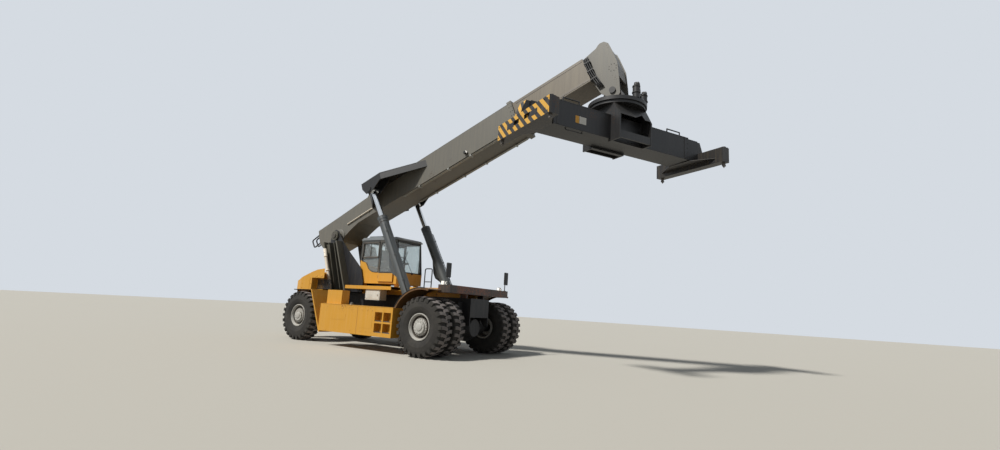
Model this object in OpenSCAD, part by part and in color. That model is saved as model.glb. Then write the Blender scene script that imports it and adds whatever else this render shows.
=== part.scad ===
// Reach stacker: a container handler with a telescopic boom and a 20 to 40 foot spreader.
// Millimetres. +X is forward, +Y is to the driver's left, +Z is up, and the ground is Z = 0.
// Places along X are counted from the front axle; car() then moves the origin to mid length.

/* [Running gear] */
// Distance between the front and the rear axle
wheelbase = 6000; // [5600:50:6400]
// Diameter over the lugs
tyre_d = 1670; // [1600:10:1740]
// Width of a tyre
tyre_w = 505; // [440:5:520]
// Diameter of a rim's outer flange
rim_d = 750; // [660:10:800]
// Depth of a lug
lug_h = 32; // [15:1:50]
// Lugs on each side of a tyre
lugs = 17; // [12:1:20]
// Distance between the middles of the two dual pairs
front_track = 3075; // [3000:5:3200]
// Distance between the middles of the two tyres of a dual pair
dual_step = 596; // [570:2:620]
// Distance between the middles of the rear tyres
rear_track = 2780; // [2700:10:2900]
// Distance between the two kingpins
kingpin_track = 2040; // [1960:10:2100]

/* [Chassis] */
// Height of the top deck
deck_z = 1740; // [1700:10:1800]
// Height of the frame rails' lower edge
rail_z = 700; // [600:10:800]
// Half width over the frame rails
rail_y = 620; // [560:10:680]
// Thickness of heavy plate
plate = 30; // [20:1:40]
// Half width over the side tanks
tank_y = 2050; // [1950:10:2100]
// Height of the tanks' underside
tank_z = 450; // [380:10:550]
// Height of the tanks' top
tank_top = 1300; // [1200:10:1400]
// Radius of the front fender arches
arch_r = 1080; // [1000:10:1150]
// How far the counterweight reaches behind the rear axle
tail = 1450; // [1300:10:1600]
// Half width of the counterweight
tail_y = 1500; // [1400:10:1600]
// Height of the counterweight's crown
tail_top = 2470; // [2300:10:2600]

/* [Boom] */
// Boom pivot behind the front axle
pivot_x = 5650; // [5550:10:5750]
// Height of the boom pivot
pivot_z = 3760; // [3700:10:3850]
// Angle of the boom as it stands
boom_angle = 22; // [16:1:28]
// Length of the outer boom ahead of its pivot
outer_len = 8090; // [7800:10:8300]
// Width of the outer boom
outer_w = 980; // [900:10:1040]
// Depth of the outer boom
outer_h = 850; // [800:10:900]
// Thickness of the boom's plates
boom_wall = 20; // [12:1:30]
// Gap between the inner and the outer boom
boom_gap = 15; // [8:1:25]
// How far the inner boom is run out as it stands
boom_out = 1600; // [1000:50:2000]
// Head pin ahead of the boom pivot with the boom run in
head_reach = 9460; // [9400:10:9520]

/* [Lift cylinders] */
// Cylinder foot pin behind the front axle
foot_x = 1160; // [1100:10:1220]
// Height of the cylinder foot pin
foot_z = 1260; // [1200:10:1320]
// Cylinder eye pin along the boom
eye_s = 2590; // [2550:10:2650]
// Cylinder eye pin above the boom pivot's line
eye_o = 520; // [500:5:530]
// Half distance between the two cylinders
cyl_y = 1080; // [1060:5:1100]
// Outer radius of a barrel
barrel_r = 160; // [140:5:170]
// Radius of a rod
rod_r = 90; // [70:5:100]

/* [Cab] */
// Outside width of the cab
cab_w = 1220; // [1160:10:1240]
// Back of the cab behind the front axle
cab_back = 4240; // [4150:10:4300]
// Outside length of the cab at its floor
cab_len = 1800; // [1700:10:1850]
// Height of the cab's underside
cab_z = 2060; // [2030:10:2100]
// Height of the cab's roof
cab_top = 3640; // [3560:10:3660]
// Thickness of the cab's walls
cab_wall = 50; // [35:1:60]

/* [Spreader] */
// Angle of the spreader from square, clockwise from above
yaw = 29; // [0:1:40]
// Height of the underside of the corner housings
spreader_z = 5850; // [5800:10:5900]
// Length over the end beams, run in
spreader_len = 6060; // [6000:10:6100]
// Width over the end beams
spreader_w = 2440; // [2400:10:2460]
// Width of the main beam
main_w = 800; // [760:10:860]
// Depth of the main beam
main_h = 670; // [600:10:700]
// Length of the main beam
main_len = 4700; // [4500:50:4800]
// Spacing of the twistlocks across the spreader
lock_w = 2260; // [2250:1:2270]

/* [Hidden] */

yellow = "#d9992f";
grey = "#56544f";
black = "#2b2b2d";
steel = "#b9b9b6";
rubber = "#2f2c2a";

// Running clearance of pins and rods, and the wider gap round other moving pieces
fit = 0.5;
gap = 8;
tyre_r = tyre_d / 2;
axle_z = tyre_r;
tow_len = 150;
rear_end = wheelbase + tail + tow_len;
lock_tip = 140;
head_s = head_reach + boom_out;
head_o = -433;
boom_o = 105;
inner_h = outer_h - 2 * (boom_wall + boom_gap);
inner_w = outer_w - 2 * (boom_wall + boom_gap);
inner_o = boom_o + boom_wall + boom_gap;
head_x = -pivot_x + head_s * cos(boom_angle) - head_o * sin(boom_angle);
head_z = pivot_z + head_s * sin(boom_angle) + head_o * cos(boom_angle);
reach_x = head_x + spreader_len / 2 * sin(yaw) + spreader_w / 2 * cos(yaw);
mid_x = (reach_x - rear_end) / 2;

eye_x = -pivot_x + eye_s * cos(boom_angle) - eye_o * sin(boom_angle);
eye_z = pivot_z + eye_s * sin(boom_angle) + eye_o * cos(boom_angle);
lift_dx = eye_x + foot_x;
lift_dz = eye_z - foot_z;
lift_len = sqrt(lift_dx * lift_dx + lift_dz * lift_dz);
lift_tilt = atan2(lift_dx, lift_dz);
barrel_len = 3430;
rod_len = 3345;
lock_in = 105;
foot_in = barrel_r + gap;
collar_r = barrel_r + 10;
cheek_in = collar_r + gap;
cheek_out = cheek_in + plate;
door_hinge = 960;
narrow_y = 480;
tank_w = 760;
// Seam between welded pieces, and half the room between the frame's webs
seam = 0.3;
web_in = narrow_y - plate - seam;
tower_y = 645;
rail_top = deck_z - plate;
floor_z = 1950;
tail_in = 1950;
inner_tail = tail_in + boom_out;
nose_y = 380;
ring_z = head_z - 440;
main_z = 150;
main_wall = 15;
slot_w = (main_w - 3 * main_wall) / 2;
saddle_z = main_z + main_h + gap;
arm_end = spreader_len / 2 - 270;
end_h = 420;

// Frames: the whole machine, the boom, a lift cylinder and the spreader
module car() translate([-mid_x, 0, 0]) children();
module boom_frame() car() translate([-pivot_x, 0, pivot_z]) rotate([0, -boom_angle, 0]) children();
module lift_frame(side) car() translate([-foot_x, side * cyl_y, foot_z]) rotate([0, lift_tilt, 0]) children();
module spreader_frame() car() translate([head_x, 0, spreader_z]) rotate([0, 0, -yaw]) children();
module both_sides() {
    children();
    mirror([0, 1, 0]) children();
}
// A bar along Y, from y0 to y1, with its axis at x and z
module cross_bar(x, z, r, y0, y1) translate([x, y1, z]) rotate([90, 0, 0]) cylinder(r = r, h = y1 - y0, $fn = 48);
// A plate in the XZ plane, from y0 to y1
module side_plate(points, y0, y1) translate([0, y1, 0]) rotate([90, 0, 0]) linear_extrude(y1 - y0) polygon(points);

// Wheels

// Rings of the tyre: columns are the share of the half width and the radius; lugs stand on the two shoulders
carcass_r = tyre_r - lug_h;
function tyre_ring(left_up, right_up) = let (b = tyre_w / 2) [
    [-0.63 * b, rim_d / 2 - 19], [-b, carcass_r * 0.72], [-0.86 * b, (left_up ? tyre_r : carcass_r) - 12],
    [0, tyre_r],
    [0.86 * b, (right_up ? tyre_r : carcass_r) - 12], [b, carcass_r * 0.72], [0.63 * b, rim_d / 2 - 19]];
module tyre() {
    rings = 4 * lugs;
    per = 7;
    points = [for (i = [0:rings - 1]) let (a = -90 + 360 * (i + (i % 2 == 1 ? 0.1 : 0)) / rings, q = i % 4)
        for (p = tyre_ring(q < 2, q >= 2)) [p[1] * cos(a), p[0], p[1] * sin(a)]];
    faces = [for (i = [0:rings - 1]) for (k = [0:per - 1]) let (j = (i + 1) % rings, n = (k + 1) % per)
        for (f = [[i * per + k, i * per + n, j * per + n], [i * per + k, j * per + n, j * per + k]]) f];
    polyhedron(points, faces);
}

// Disc wheel: its dish faces side * Y, and a bore in its back takes the hub of the axle
rim_half = tyre_w * 0.39;
module rim(side, bored) {
    r = rim_d / 2;
    w = rim_half;
    rotate([side > 0 ? -90 : 90, 0, 0]) difference() {
        rotate_extrude($fn = 64) polygon([
            [0, w - 175], [r - 60, w - 175], [r - 60, -w - 12], [r - 20, -w - 12], [r - 20, w - 34], [r, w - 20], [r, w + 12],
            [r - 22, w + 12], [r - 60, w - 40], [r - 78, w - 120], [250, w - 135], [250, w - 45],
            [180, w - 30], [180, w + 12], [0, w + 12]]);
        for (i = [0:7]) rotate([0, 0, 45 * i]) translate([274, 0, -w]) cylinder(r = 16, h = 2 * w, $fn = 24);
        if (bored) translate([0, 0, w - 200]) cylinder(r = hub_r + fit, h = 110, $fn = 48);
    }
}

front_y = [(front_track + dual_step) / 2, (front_track - dual_step) / 2];
module tyres_front(side) color(rubber) car() for (y = front_y) translate([0, side * y, axle_z]) tyre();
module rims_front(side) color(steel) car() {
    translate([0, side * front_y[0], axle_z]) rim(side, false);
    translate([0, side * front_y[1], axle_z]) rim(side, true);
    // The spacer that joins the two discs
    translate([0, 0, axle_z]) scale([1, side, 1]) cross_bar(0, 0, 170, front_y[1] + rim_half + 10, front_y[0] + rim_half - 173);
}
module tyre_rear(side) color(rubber) car() translate([-wheelbase, side * rear_track / 2, axle_z]) tyre();
module rim_rear(side) color(steel) car() translate([-wheelbase, side * rear_track / 2, axle_z]) rim(side, true);

hub_r = 139;
module knuckle(side) color(black) car() translate([-wheelbase, 0, axle_z]) mirror([0, side < 0 ? 1 : 0, 0]) {
    kp = kingpin_track / 2;
    translate([0, kp, -158 + fit]) cylinder(r = 90, h = 316 - 2 * fit, $fn = 48);
    cross_bar(0, 0, 110, kp + 20, rear_track / 2 + rim_half - 180);
    cross_bar(0, 0, hub_r, rear_track / 2 + rim_half - 195, rear_track / 2 + rim_half - 92);
    translate([-250, kp - 40, -40]) cube([200, 80, 80]);
}

// Axles

module drive_axle() color(black) car() translate([0, 0, axle_z]) {
    reach = front_y[1] + rim_half - 92;
    cross_bar(0, 0, 200, -850, 850);
    both_sides() cross_bar(0, 0, hub_r, 800, reach);
    rotate([0, 90, 0]) rotate_extrude($fn = 64) polygon([[0, -430], [250, -430], [400, -220], [420, 120], [260, 420], [0, 420]]);
    both_sides() translate([-260, narrow_y + 0.3, 120]) cube([520, 200, rail_top - axle_z - 240]);
}
module steer_axle() color(black) car() translate([-wheelbase, 0, axle_z]) difference() {
    union() {
        translate([-230, -800, -190]) cube([460, 1600, 380]);
        both_sides() for (z = [-210, 158]) translate([-130, 780, z]) cube([260, kingpin_track / 2 - 780 + 100, 52]);
        both_sides() translate([-130, 760, -210]) cube([260, 60, 420]);
        translate([-350, 0, 0]) rotate([0, 90, 0]) cylinder(r = 110, h = 700, $fn = 48);
    }
    // The steering cylinder lies in a trough along the beam's back
    translate([-231, -700, -100]) cube([130, 1400, 200]);
}

// Frame

module rail(x0, x1, y, z0, z1) translate([x0, y - plate, z0]) cube([x1 - x0, plate, z1 - z0]);
module chassis_frame() color(black) car() {
    both_sides() {
        // Side web of the frame: deep between the axles, arched over the steer axle
        side_plate([[-5100, rail_z], [-300, rail_z], [-260, 1060], [300, 1060], [420, 900], [560, 900], [560, rail_top],
            [-6900, rail_top], [-6900, 1150], [-5500, 1150]], narrow_y - plate, narrow_y);
        // Lift cylinder foot: two cheeks on an arm that stands out from the web, and the pin
        for (y = [cyl_y - foot_in - plate, cyl_y + foot_in]) side_plate([[-foot_x - 240, 900], [-foot_x + 200, 900],
            [-foot_x + 170, foot_z + 60], [-foot_x + 60, foot_z + 170], [-foot_x - 90, foot_z + 170], [-foot_x - 240, foot_z]], y, y + plate);
        cross_bar(-foot_x, foot_z, 60, cyl_y - foot_in - 1, cyl_y + foot_in + 1);
        translate([-foot_x - 240, narrow_y + seam, 780]) cube([430, cyl_y + foot_in + plate - narrow_y - seam, 140]);
        // Brackets that carry the tanks
        for (x = [-4000, -2700, -1500]) translate([x, narrow_y + seam, 900]) cube([60, tank_y - tank_w - narrow_y - 2 * seam, 340]);
    }
    translate([-foot_x - 240, -web_in, 780]) cube([430, 2 * web_in, 140]);
    for (x = [-6900, -5080, -3300, 530]) translate([x, -web_in, 1150]) cube([plate, 2 * web_in, rail_top - 1150]);
    translate([-5060, -web_in, rail_z]) cube([3700, 2 * web_in, plate]);
    // Pads that take the steer axle's rocking pin
    for (x = [-wheelbase - 330, -wheelbase + 250]) difference() {
        union() {
            translate([x, -200, axle_z - 160]) cube([80, 400, 520]);
            translate([x, -web_in, 1155]) cube([80, 2 * web_in, 200]);
        }
        translate([x - 1, 0, axle_z]) rotate([0, 90, 0]) cylinder(r = 110 + fit, h = 82, $fn = 48);
    }
}
module deck() color(black) car() translate([-6900, -1250, rail_top + 0.3]) cube([2640, 2500, plate]);
// Cab platform, on two beams that stand on the frame, with wells that the lift cylinders pass through
module cab_platform() color(yellow) car() difference() {
    union() {
        translate([-4200, -1200, floor_z - 110]) cube([2999.5, 2400, 12]);
        translate([-4200, -1200, floor_z - 12]) cube([2999.5, 2400, 12]);
        both_sides() translate([-4200, 1188, floor_z - 110]) cube([2999.5, 12, 110]);
        for (x = [-4200, -1213.5]) translate([x, -1199, floor_z - 110]) cube([13, 2398, 110]);
        both_sides() translate([-4150, narrow_y - 80, rail_top + 0.3]) cube([2900, 80, floor_z - rail_top - 12]);
        for (x = [-4150, -2600]) for (y = [-520, 400]) translate([x, y, floor_z - 1]) cube([120, 120, cab_z - floor_z + 0.7]);
    }
    both_sides() translate([-2050, cyl_y - 190, floor_z - 120]) cube([820, 380, 140]);
    // Slots for the boom tower's side plates
    both_sides() translate([-4201, tower_y - 5, floor_z - 120]) cube([261, plate + 10, 140]);
}
module engine_block() color(grey) car() translate([-4900, -narrow_y + plate + 20, rail_z + plate + 0.3]) cube([1500, 2 * (narrow_y - plate - 20), 850]);

module tank(side) color(yellow) car() mirror([0, side < 0 ? 1 : 0, 0]) {
    difference() {
        translate([-4250, tank_y - tank_w, tank_z]) cube([3220, tank_w, tank_top - tank_z]);
        // Two by two step openings at the front end
        for (x = [-1740, -1390]) for (z = [560, 880]) translate([x, tank_y - 180, z]) cube([300, 200, 270]);
        // The joint between the tank and the step box
        translate([-2500, tank_y - 8, tank_z - 1]) cube([12, 10, tank_top - tank_z + 2]);
        translate([-2494, tank_y - tank_w - 1, tank_z - 1]) cube([seam, tank_w + 2, tank_top - tank_z + 2]);
        // The splash plate's seat
        side_plate([[-4170 + seam, 400], [-5000, 400], [-5000, 1740], [-4800 + seam, 1740]], tank_y - tank_w - 1, tank_y + 1);
    }
    translate([-4160, tank_y - 450, tank_top + seam]) cube([700, 300, 446]);
    // Slanted splash plate behind the tank
    translate([0, tank_y, 0]) rotate([90, 0, 0]) linear_extrude(tank_w)
        polygon([[-4170, 400], [-4230, 400], [-4840, 1730], [-4800, 1740]]);
}

// Ring of the wheel arch above the tank's top, from y0 to y1
module arch_ring(r0, r1, y0, y1) translate([0, y1, 0]) rotate([90, 0, 0]) linear_extrude(y1 - y0) intersection() {
    translate([0, axle_z]) difference() {
        circle(r = r1, $fn = 96);
        circle(r = r0, $fn = 96);
    }
    polygon([[0, tank_top + 0.3], [-1600, tank_top + 0.3], [-1600, 2500], [500, 2500], [470, 2300]]);
}
module fender(side) color(yellow) car() mirror([0, side < 0 ? 1 : 0, 0]) difference() {
    union() {
        arch_ring(arch_r - 20, arch_r, 1250.4, tank_y + 40);
        arch_ring(arch_r - 60, arch_r, tank_y + 10, tank_y + 40);
    }
    // Clearance for the front beam
    translate([149, 1200, 1500]) cube([500, 340.4, 600]);
}

module front_platform() color(yellow) car() {
    difference() {
        translate([-1200, -1250, floor_z - 110]) cube([1349.7, 2500, 110]);
        translate([-1188, -1238, floor_z - 98]) cube([1325.7, 2476, 86]);
    }
    both_sides() translate([-1180, narrow_y - 80, rail_top + 0.3]) cube([1300, 80, floor_z - rail_top - 109]);
}
// Cross beam that carries the lamps and the mirrors
module front_beam() color(black) car() {
    translate([150, -1540, floor_z - 130]) cube([420, 3080, 220]);
    both_sides() translate([160, narrow_y - 80, rail_top + 0.3]) cube([220, 80, floor_z - rail_top - 129]);
}

// Counterweight and engine hood: a side outline and a plan outline cut together
module counterweight() color(yellow) car() {
    back = wheelbase + tail;
    difference() {
        intersection() {
            side_plate([[-4840, deck_z + 0.6], [-4840, tail_top - 10], [-5000, tail_top], [-5350, tail_top - 40], [-5650, tail_top - 125],
                [-6090, tail_top - 285], [-6350, tail_top - 400], [-6700, tail_top - 480], [-7040, tail_top - 560], [-back, tail_top - 760],
                [-back, 700], [-back + 80, 620], [-6900.3, 620], [-6900.3, deck_z + 0.6]], -tail_y - 10, tail_y + 10);
            linear_extrude(3000) polygon([[-5310, -1000], [-5560, -1040], [-4960, -tail_y], [-6200, -tail_y], [-6500, -tail_y + 90], [-7050, -1010],
                [-back, -640], [-back, 640], [-7050, 1010], [-6500, tail_y - 90], [-6200, tail_y], [-4960, tail_y], [-5560, 1040], [-5310, 1000]]);
        }
        // Room for the rear wheels as they steer
        both_sides() translate([-7060, narrow_y + 140, 0]) cube([300, 1200, deck_z + 0.6]);
        // Room for the boom tower
        both_sides() translate([-5610, 600, deck_z]) cube([900, 420, 900]);
        translate([-5310, -601, deck_z]) cube([600, 1202, 900]);
        // Recess below the hood's front end
        both_sides() translate([-5600, tail_y - 220, deck_z - 1]) cube([751, 260, 2150 - deck_z]);
    }
    // Towing jaw
    for (z = [900, 1020]) translate([-back - tow_len, -110, z]) difference() {
        cube([tow_len + 40, 220, 40]);
        translate([70, 110, -1]) cylinder(r = 26, h = 42, $fn = 32);
    }
}

// Two leaning side plates that carry the boom's pivot pin
module boom_tower() color(grey) car() {
    z0 = deck_z + 0.6;
    both_sides() {
        side_plate([[-5300, z0], [-3950, z0], [-3950, 2100], [-4100, 2550], [-4480, 2880], [-4860, 3200], [-5200, 3530],
            [-5420, 3800], [-5520, 3930], [-5650, 3980], [-5790, 3930], [-5880, 3800], [-5900, 3480]], tower_y, tower_y + plate);
        // Flanges and ribs on the outside
        side_plate([[-5300, z0], [-5240, z0], [-5840, 3480], [-5900, 3480]], tower_y + plate - 1, 1000);
        side_plate([[-4560, z0], [-4500, z0], [-5250, 3540], [-5310, 3540]], tower_y + plate - 1, 940);
        for (x = [-5080, -4800]) side_plate([[x, z0], [x + 25, z0], [x - 625, 3480], [x - 650, 3480]], tower_y + plate - 1, 900);
        translate([0, 0, pivot_z]) cross_bar(-pivot_x, 0, 170, tower_y, tower_y + 90);
    }
    translate([0, 0, pivot_z]) cross_bar(-pivot_x, 0, 90, -tower_y - 120, tower_y + 120);
    translate([-5290, -tower_y - 1, z0]) cube([60, 2 * tower_y + 2, 900]);
}

module electric_box() color("#cfcfc8") car() translate([-3230, -1150, 1500]) cube([660, 300, floor_z - 110.3 - 1500]);

module lamps() color("#e8e8e0") car() both_sides() {
    translate([240, 1380, floor_z + 90.3]) cube([80, 150, 100]);
    translate([-wheelbase - tail - 30.3, 440, 1250]) cube([30, 90, 180]);
}

module mirrors() color(black) car() both_sides() {
    translate([480, 1480, floor_z + 90.3]) cylinder(r = 14, h = 560, $fn = 16);
    translate([460, 1440, floor_z + 300]) cube([40, 180, 400]);
}

// Boom, in its own frame: x runs along the boom, z stands up from it, and the pivot is at zero

module boom_outer() color(grey) boom_frame() difference() {
    h1 = boom_o + outer_h;
    union() {
        difference() {
            side_plate([[-1085, 705], [-1115, 200], [-980, -50], [-800, -200], [-80, -190], [90, -150], [620, 10], [1050, boom_o],
                [outer_len, boom_o], [outer_len, h1], [tail_in - 60, h1], [tail_in - 240, 820], [240, 750]], -outer_w / 2, outer_w / 2);
            side_plate([[-1060, 680], [-1090, 200], [-965, -30], [-790, -170], [-80, -160], [80, -120], [620, 40], [1050, boom_o + boom_wall],
                [outer_len + 10, boom_o + boom_wall], [outer_len + 10, h1 - boom_wall], [tail_in - 50, h1 - boom_wall], [tail_in - 230, 790], [240, 722]],
                -outer_w / 2 + boom_wall, outer_w / 2 - boom_wall);
        }
        // Bosses of the pivot
        both_sides() cross_bar(0, 0, 148, outer_w / 2 - 60, tower_y - 10);
    }
    cross_bar(0, 0, 90 + fit, -700, 700);
}
module crosshead() color(grey) boom_frame() both_sides() {
    y0 = outer_w / 2 + 0.3;
    top0 = 812;
    // Top plate
    translate([0, 0, top0]) linear_extrude(plate) polygon([[1840, y0], [2290, cyl_y + cheek_out], [3200, cyl_y + cheek_out], [4590, y0]]);
    // Cheeks on both sides of the cylinder's eye, with the bosses of its pin
    for (y = [cyl_y - cheek_in, cyl_y + cheek_out]) side_plate([[2290, 620], [2430, 400], [2750, 400], [3160, 620], [3190, top0 + 1], [2290, top0 + 1]], y - plate, y);
    translate([0, 0, eye_o]) {
        cross_bar(eye_s, 0, 95, cyl_y - cheek_out - 20, cyl_y - cheek_out + 1);
        cross_bar(eye_s, 0, 95, cyl_y + cheek_out - 1, cyl_y + cheek_out + 20);
    }
    // Webs that taper back to the boom's side
    translate([0, 0, 300]) linear_extrude(top0 + 1 - 300) polygon([[1840, y0], [1880, y0], [2330, cyl_y - cheek_in], [2290, cyl_y - cheek_in]]);
    translate([0, 0, 600]) linear_extrude(top0 + 1 - 600) polygon([[4590, y0], [4520, y0], [3130, cyl_y + cheek_out], [3190, cyl_y + cheek_out]]);
}
module boom_collar() color(grey) boom_frame() {
    collar_ring();
    // Wear pads that guide the inner boom
    both_sides() {
        translate([outer_len + 5, inner_w / 2 + fit, inner_o + 120]) cube([90, gap + 2, inner_h - 240]);
        for (z = [inner_o - gap - 2, inner_o + inner_h + fit]) translate([outer_len + 5, inner_w / 2 - 280, z]) cube([90, 200, gap + 2 - fit]);
    }
}
module collar_ring() difference() {
    translate([outer_len - 60, -outer_w / 2 - 40, boom_o - 40]) cube([160, outer_w + 80, outer_h + 80]);
    translate([outer_len - 70, -outer_w / 2 - 0.3, boom_o - 0.3]) cube([70, outer_w + 0.6, outer_h + 0.6]);
    translate([outer_len - 70, -inner_w / 2 - gap, inner_o - gap]) cube([200, inner_w + 2 * gap, inner_h + 2 * gap]);
}
module boom_inner() color(grey) boom_frame() {
    inner_box();
    // Wear pads at its tail, which slide inside the outer boom
    both_sides() {
        translate([inner_tail + 40, inner_w / 2 - 1, inner_o + 120]) cube([160, boom_gap + 1 - fit, inner_h - 240]);
        for (z = [inner_o - boom_gap + fit, inner_o + inner_h - 1]) translate([inner_tail + 40, 180, z]) cube([160, 200, boom_gap + 1 - fit]);
    }
}
module inner_box() difference() {
    translate([inner_tail, -inner_w / 2, inner_o]) cube([head_s - 420 - inner_tail, inner_w, inner_h]);
    translate([inner_tail - 10, -inner_w / 2 + boom_wall, inner_o + boom_wall])
        cube([head_s - 420 - inner_tail - 100, inner_w - 2 * boom_wall, inner_h - 2 * boom_wall]);
}
module boom_nose() color(grey) boom_frame() difference() {
    s = head_s;
    union() {
        both_sides() side_plate([[s - 419.5, inner_o + 40], [s - 419.5, 925], [s + 30, 1020], [s + 110, 1075], [s + 180, 1100], [s + 300, 1075],
            [s + 390, 960], [s + 405, 760], [s + 412, 280], [s + 285, -200], [s + 160, -614], [s + 100, -660], [s - 160, -570], [s - 320, -345]],
            nose_y - plate, nose_y);
        side_plate([[s + 180, 1065], [s + 290, 1045], [s + 360, 950], [s + 375, 760], [s + 382, 280], [s + 290, -80], [s + 260, -80],
            [s + 345, 280], [s + 335, 750], [s + 325, 930], [s + 270, 1010], [s + 180, 1030]], -nose_y + 1, nose_y - 1);
        translate([s - 419.5, -nose_y + 1, inner_o + 40]) cube([plate, 2 * nose_y - 2, 700]);
    }
    cross_bar(s, head_o, 90 + fit, -500, 500);
}

// Lift cylinders, in their own frame: z runs from the foot pin to the eye pin

module barrel(side) color(grey) lift_frame(side) difference() {
    union() {
        cylinder(r = barrel_r, h = barrel_len, $fn = 64);
        translate([0, 0, barrel_len - 120]) cylinder(r = collar_r, h = 120, $fn = 64);
        cross_bar(0, 0, 146, -140, 140);
        // Fin that carries the pipes behind the barrel
        side_plate([[-barrel_r + 20, 2180], [-barrel_r - 150, 1700], [-barrel_r - 150, 1480], [-barrel_r + 20, 1200]], -50, 50);
    }
    cross_bar(0, 0, 60 + fit, -200, 200);
    translate([0, 0, 225]) cylinder(r = rod_r + 20, h = barrel_len, $fn = 64);
}
module rod(side) color(steel) lift_frame(side) translate([0, 0, lift_len]) {
    translate([0, 0, -rod_len]) cylinder(r = rod_r, h = rod_len - 80, $fn = 64);
    translate([0, 0, -rod_len]) cylinder(r = rod_r + 20 - fit, h = 60, $fn = 64);
    // Eye with its pin
    cross_bar(0, 0, 120, -cheek_in + 30, cheek_in - 30);
    cross_bar(0, 0, 60, -cheek_in + gap, cheek_in - gap);
}

// Head, slewing and spreader

module hanger() color(black) car() translate([head_x, 0, 0]) {
    translate([0, 0, ring_z]) cylinder(r = 800, h = 100, $fn = 96);
    difference() {
        union() {
            side_plate([[-420, ring_z + 90], [420, ring_z + 90], [140, head_z + 100], [-140, head_z + 100]], -nose_y + plate + gap, nose_y - plate - gap);
            translate([0, 0, head_z]) cross_bar(0, 0, 90, -nose_y - 40, nose_y + 40);
        }
    }
}
module slew_drives() color(black) car() translate([head_x, 0, ring_z + 100.3]) for (y = [-330, 330])
    translate([640, y, 0]) cylinder(r = 95, h = 330, $fn = 32);

module slew_tower() color(black) spreader_frame() {
    top = ring_z - spreader_z - gap;
    translate([0, 0, top - 70]) cylinder(r = 760, h = 70, $fn = 96);
    translate([0, 0, top - 1]) cylinder(r = 620, h = gap + 1 - fit, $fn = 96);
    // Slide pads on the beam's top and sides
    for (y = [-540, 500]) for (x = [-1, 1]) {
        translate([x * 250 - 100, y, main_z + main_h + fit]) cube([200, 40, gap + 1 - fit]);
        translate([x > 0 ? main_w / 2 + fit : -main_w / 2 - gap - 1, y, main_z + 60]) cube([gap + 1 - fit, 40, 400]);
    }
    // Two portals that straddle the main beam
    for (y = [-560, 520]) translate([0, y + 40, 0]) rotate([90, 0, 0]) linear_extrude(40) polygon([[-520, top - 60], [520, top - 60],
        [760, main_z + 560], [760, main_z - 60], [main_w / 2 + gap, main_z - 60], [main_w / 2 + gap, saddle_z],
        [-main_w / 2 - gap, saddle_z], [-main_w / 2 - gap, main_z - 60], [-760, main_z - 60], [-760, main_z + 560]]);
    // Sloping plates at the front and the rear, each open in a triangle above the beam
    for (m = [0, 1]) mirror([m, 0, 0]) difference() {
        translate([0, 521, 0]) rotate([90, 0, 0]) linear_extrude(1042) polygon([[495, top - 60], [520, top - 60], [744, saddle_z - 70], [719, saddle_z - 70]]);
        translate([400, 0, 0]) rotate([90, 0, 90]) linear_extrude(400) polygon([[-40, saddle_z - 90], [330, saddle_z - 90], [300, saddle_z + 90]]);
    }
    for (x = [-1, 1]) translate([x * 730 - 20, -559, main_z - 40]) cube([40, 1118, 200]);
    // Claws under the main beam
    for (x = [-1, 1]) translate([x > 0 ? main_w / 2 - 80 : -main_w / 2 - gap - 40, -559, main_z - 60]) cube([120 + gap, 1118, 60 - gap]);
}

module spreader_beam() color(black) spreader_frame() {
    // Pipe hoops on top of the beam
    for (y = [-2050, 1550]) translate([main_w / 2 - 60, y, main_z + main_h - 1]) {
        for (dy = [0, 500]) translate([0, dy, 0]) cylinder(r = 18, h = 110, $fn = 24);
        translate([0, 0, 110]) rotate([-90, 0, 0]) cylinder(r = 18, h = 500, $fn = 24);
        for (dy = [0, 500]) translate([0, dy, 110]) sphere(r = 18, $fn = 24);
    }
    difference() {
        translate([-main_w / 2, -main_len / 2, main_z]) cube([main_w, main_len, main_h]);
        for (x = [main_wall / 2, -main_wall / 2 - slot_w]) translate([x, -main_len / 2 - 1, main_z + main_wall]) cube([slot_w, main_len + 2, main_h - 2 * main_wall]);
    }
}
// The left arm runs in the front slot and the right arm in the rear slot
module slide_beam(side) color(black) spreader_frame() scale([side, side, 1]) {
    slide_box();
    // Wear pads at its tail and top, which slide in the main beam
    for (z = [main_z + main_wall + fit, main_z + main_h - main_wall - gap - 1]) translate([main_wall / 2 + 60, -2200, z])
        cube([slot_w - 120, 150, gap + 1 - fit]);
}
module slide_box() difference() {
    translate([main_wall / 2 + gap, -2250, main_z + main_wall + gap]) cube([slot_w - 2 * gap, arm_end + 2250, main_h - 2 * (main_wall + gap)]);
    translate([main_wall / 2 + gap + 12, -2260, main_z + main_wall + gap + 12]) cube([slot_w - 2 * gap - 24, arm_end + 2250 - 60, main_h - 2 * (main_wall + gap) - 24]);
}
module end_beam(side) color(black) spreader_frame() scale([side, side, 1]) difference() {
    union() {
        translate([-spreader_w / 2, arm_end + 0.3, 0]) cube([spreader_w, spreader_len / 2 - arm_end - 0.3, end_h]);
        translate([0, 0, 130]) linear_extrude(17) polygon([[-370, main_len / 2 + 30], [370, main_len / 2 + 30], [1000, arm_end + 1], [-1000, arm_end + 1]]);
        // Gusset that carries the arm's top down to the end beam
        translate([60, 0, 0]) rotate([90, 0, 90]) linear_extrude(slot_w - 90) polygon([[arm_end + 0.3, end_h - 1], [spreader_len / 2 - 8, end_h - 1],
            [spreader_len / 2 - 30, 520], [arm_end + 130, main_z + main_h - 30], [arm_end + 0.3, main_z + main_h - 30]]);
    }
    // Two slots through the outer face, and the twistlocks' bores
    for (x = [-1, 1]) translate([x * 250 - 130, spreader_len / 2 - 60, 170]) cube([260, 100, 120]);
    for (x = [-1, 1]) translate([x * lock_w / 2, spreader_len / 2 - lock_in, -10]) cylinder(r = 40 + fit, h = end_h + 20, $fn = 32);
}
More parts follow.
